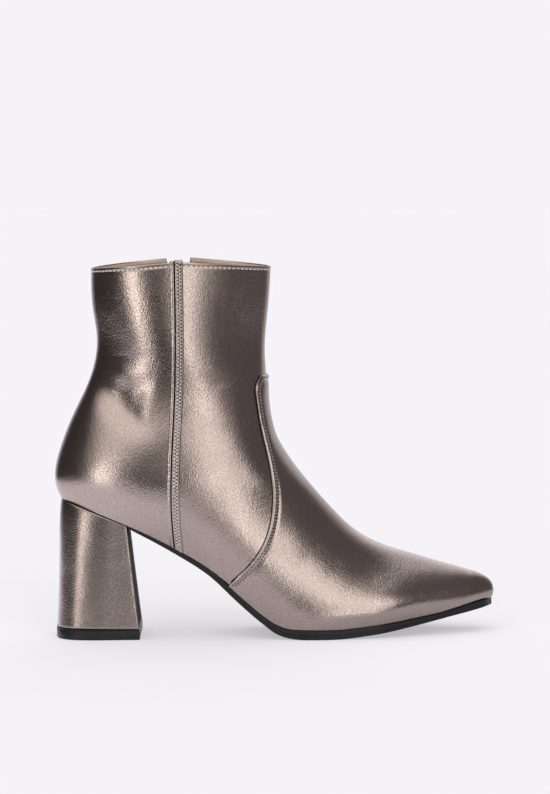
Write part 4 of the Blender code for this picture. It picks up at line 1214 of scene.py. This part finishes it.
# Studio: a small pale table in a grey room, with soft boxes and dark flags drawn into the room
studio = {
    "paper": (0.922, 0.896, 0.922),
    "tableX": (-0.50, 0.70), "tableY": (-0.33, 0.9),
    "glow": 0.495, "paperDiffuse": 0.52, "mirrorGlow": 0.18, "mirrorTint": (0.90, 0.90, 0.97),
    "mirrorRun": (-0.01, 0.17), "mirrorPaintedShade": (1.14, 0.68),
    "room": (0.59, 0.58, 0.575), "tint": (1.0, 0.985, 0.975),
    "coolTint": (0.97, 0.985, 1.06), "flagTint": (1.0, 0.94, 1.0), "flagBelow": 0.5,
    "washes": {  # direction, where it begins, where it is full, radiance
        "ceiling": ((0, 0, 1), 0.80, 0.97, 1.9),
        "backdrop": ((0, 1, 0), 0.5, 0.85, 0.8),
        "highBackdrop": ((0, 0.77, 0.64), 0.80, 0.95, 1.4),
    },
    "panels": {  # azimuth from the camera (+ right), elevation, half width, half height, roll, edge, radiance
        "leftWing": (-108.0, 5.0, 0.70, 0.9, 0.0, 0.20, 0.06),
        "leftFlag": (-51.7, 1.9, 1.2, 0.557, 6.4, 0.20, 0.065),
        "rightFlag": (75.8, 19.3, 1.016, 1.215, -25.0, 0.20, 0.16),
        "mainBox": (17.8, 4.3, 0.105, 0.27, 28.0, 0.10, 3.55),
        "topBox": (20.0, 31.4, 0.29, 0.44, -29.8, 0.10, 2.0),
        "sideBox": (-41.3, -2.9, 0.085, 0.165, -18.8, 0.10, 6.2),
        "leftPanel": (-31.5, 48.5, 0.456, 0.824, 2.5, 0.35, 1.55),
    },
}


def flatSheet(name, xRange, yRange, material):
    (x0, x1), (y0, y1) = xRange, yRange
    mesh = bpy.data.meshes.new(name)
    mesh.from_pydata([(x0, y0, 0), (x1, y0, 0), (x1, y1, 0), (x0, y1, 0)], [], [(0, 1, 2, 3)])
    mesh.materials.append(material)
    sheet = addObject(name, mesh)
    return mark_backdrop(sheet) or sheet


def makeRoom(world):
    world.node_tree.nodes.clear()
    node, math2 = partial(addNode, world), partial(maths, world)

    def fade(value, low, high):
        return node("ShaderNodeMapRange", {"Value": value, "From Min": low, "From Max": high},
                    interpolation_type="SMOOTHSTEP").outputs[0]

    way = node("ShaderNodeTexCoord").outputs["Generated"]

    def along(axis):
        return node("ShaderNodeVectorMath", {0: way, 1: tuple(axis)}, operation="DOT_PRODUCT").outputs["Value"]

    colour = studio["room"]
    for axis, low, high, radiance in studio["washes"].values():
        wash = tuple(radiance * c for c in studio["coolTint"])
        colour = blendColours(world, fade(along(axis), low, high), colour, wash)
    for azimuth, elevation, halfWidth, halfHeight, roll, edge, radiance in studio["panels"].values():
        a, e, r = (math.radians(v) for v in (azimuth, elevation, roll))
        ahead = Vector((math.sin(a) * math.cos(e), -math.cos(a) * math.cos(e), math.sin(e)))
        level = Vector((math.cos(a), math.sin(a), 0.0))
        upright = level.cross(ahead)
        right, up = level * math.cos(r) + upright * math.sin(r), upright * math.cos(r) - level * math.sin(r)
        depth = math2("MAXIMUM", along(ahead), 0.05)
        masks = [fade(math2("ABSOLUTE", math2("DIVIDE", along(axis), depth)), half + edge, half - edge)
                 for axis, half in ((right, halfWidth), (up, halfHeight))]
        facing = math2("GREATER_THAN", along(ahead), 0.05)
        share = math2("MULTIPLY", math2("MULTIPLY", *masks), facing)
        hue = studio["tint"] if radiance > studio["flagBelow"] else studio["flagTint"]
        colour = blendColours(world, share, colour, tuple(radiance * c for c in hue))
    room = node("ShaderNodeBackground", {"Color": colour, "Strength": 1.0})
    seen = node("ShaderNodeBackground", {"Color": (*studio["paper"], 1.0), "Strength": 1.0})
    kind = node("ShaderNodeLightPath")
    mixed = node("ShaderNodeMixShader", {0: kind.outputs["Is Camera Ray"], 1: room.outputs[0], 2: seen.outputs[0]})
    node("ShaderNodeOutputWorld", {"Surface": mixed.outputs[0]})


def makeStudio():
    scene = bpy.context.scene
    paper, shader = startMaterial("palePaper", tuple(c * studio["paperDiffuse"] for c in studio["paper"]), 0.9)
    shader.inputs["Specular IOR Level"].default_value = 0.0
    shader.inputs["Emission Color"].default_value = (*studio["paper"], 1.0)
    shader.inputs["Emission Strength"].default_value = studio["glow"]
    acrossX = addNode(paper, "ShaderNodeSeparateXYZ", {"Vector": objectPlace(paper)}).outputs["X"]
    # painted shade on the floor as mirrored: from 1.14 behind to 0.68 towards the toe
    share = spread(paper, acrossX, *studio["mirrorPaintedShade"], *studio["mirrorRun"])
    mirrorShaded = addNode(paper, "ShaderNodeVectorMath", {0: studio["mirrorTint"], "Scale": share}, operation="SCALE")
    matt = addNode(paper, "ShaderNodeBsdfDiffuse", {"Color": mirrorShaded.outputs[0]})  # as the boot mirrors it, with painted shade: darker towards the toe
    faint = addNode(paper, "ShaderNodeEmission",
                    {"Color": (*studio["coolTint"], 1.0), "Strength": studio["mirrorGlow"]})
    mirrored = addNode(paper, "ShaderNodeAddShader", {0: matt.outputs[0], 1: faint.outputs[0]})
    kind = addNode(paper, "ShaderNodeLightPath").outputs["Is Camera Ray"]
    mixed = addNode(paper, "ShaderNodeMixShader", {0: kind, 1: mirrored.outputs[0], 2: shader.outputs[0]})
    link(paper, mixed.outputs[0], paper.node_tree.nodes["Material Output"].inputs["Surface"])
    (x0, x1), (y0, y1) = studio["tableX"], studio["tableY"]
    flatSheet("table", (x0, x1), (y0, y1), paper)
    for name, xRange, yRange in (("floorFront", (-4, 4), (-4, y0)), ("floorBack", (-4, 4), (y1, 6)),
                                 ("floorLeft", (-4, x0), (y0, y1)), ("floorRight", (x1, 4), (y0, y1))):
        sheet = flatSheet(name, xRange, yRange, paper)
        sheet.visible_glossy = sheet.visible_shadow = sheet.visible_diffuse = False
    world = bpy.data.worlds.new("studioRoom")
    scene.world = world
    world.use_nodes = True
    makeRoom(world)
    scene.view_settings.view_transform = "Standard"


makeStudio()

cameraSettings = {"place": (0.1018, -2.5, 0.342), "down": 4.729, "roll": -0.55, "lens": 288.3}
cameraData = bpy.data.cameras.new("camera")
cameraData.sensor_fit, cameraData.sensor_width, cameraData.lens = "HORIZONTAL", 36.0, cameraSettings["lens"]
cameraData.clip_end = 50.0
camera = addObject("camera", cameraData)
tilt = Matrix.Rotation(math.radians(90 - cameraSettings["down"]), 4, "X")
camera.matrix_world = (Matrix.Translation(cameraSettings["place"]) @ tilt
                       @ Matrix.Rotation(math.radians(cameraSettings["roll"]), 4, "Z"))
bpy.context.scene.camera = camera
print("studio and camera made")

bpy.context.view_layer.update()
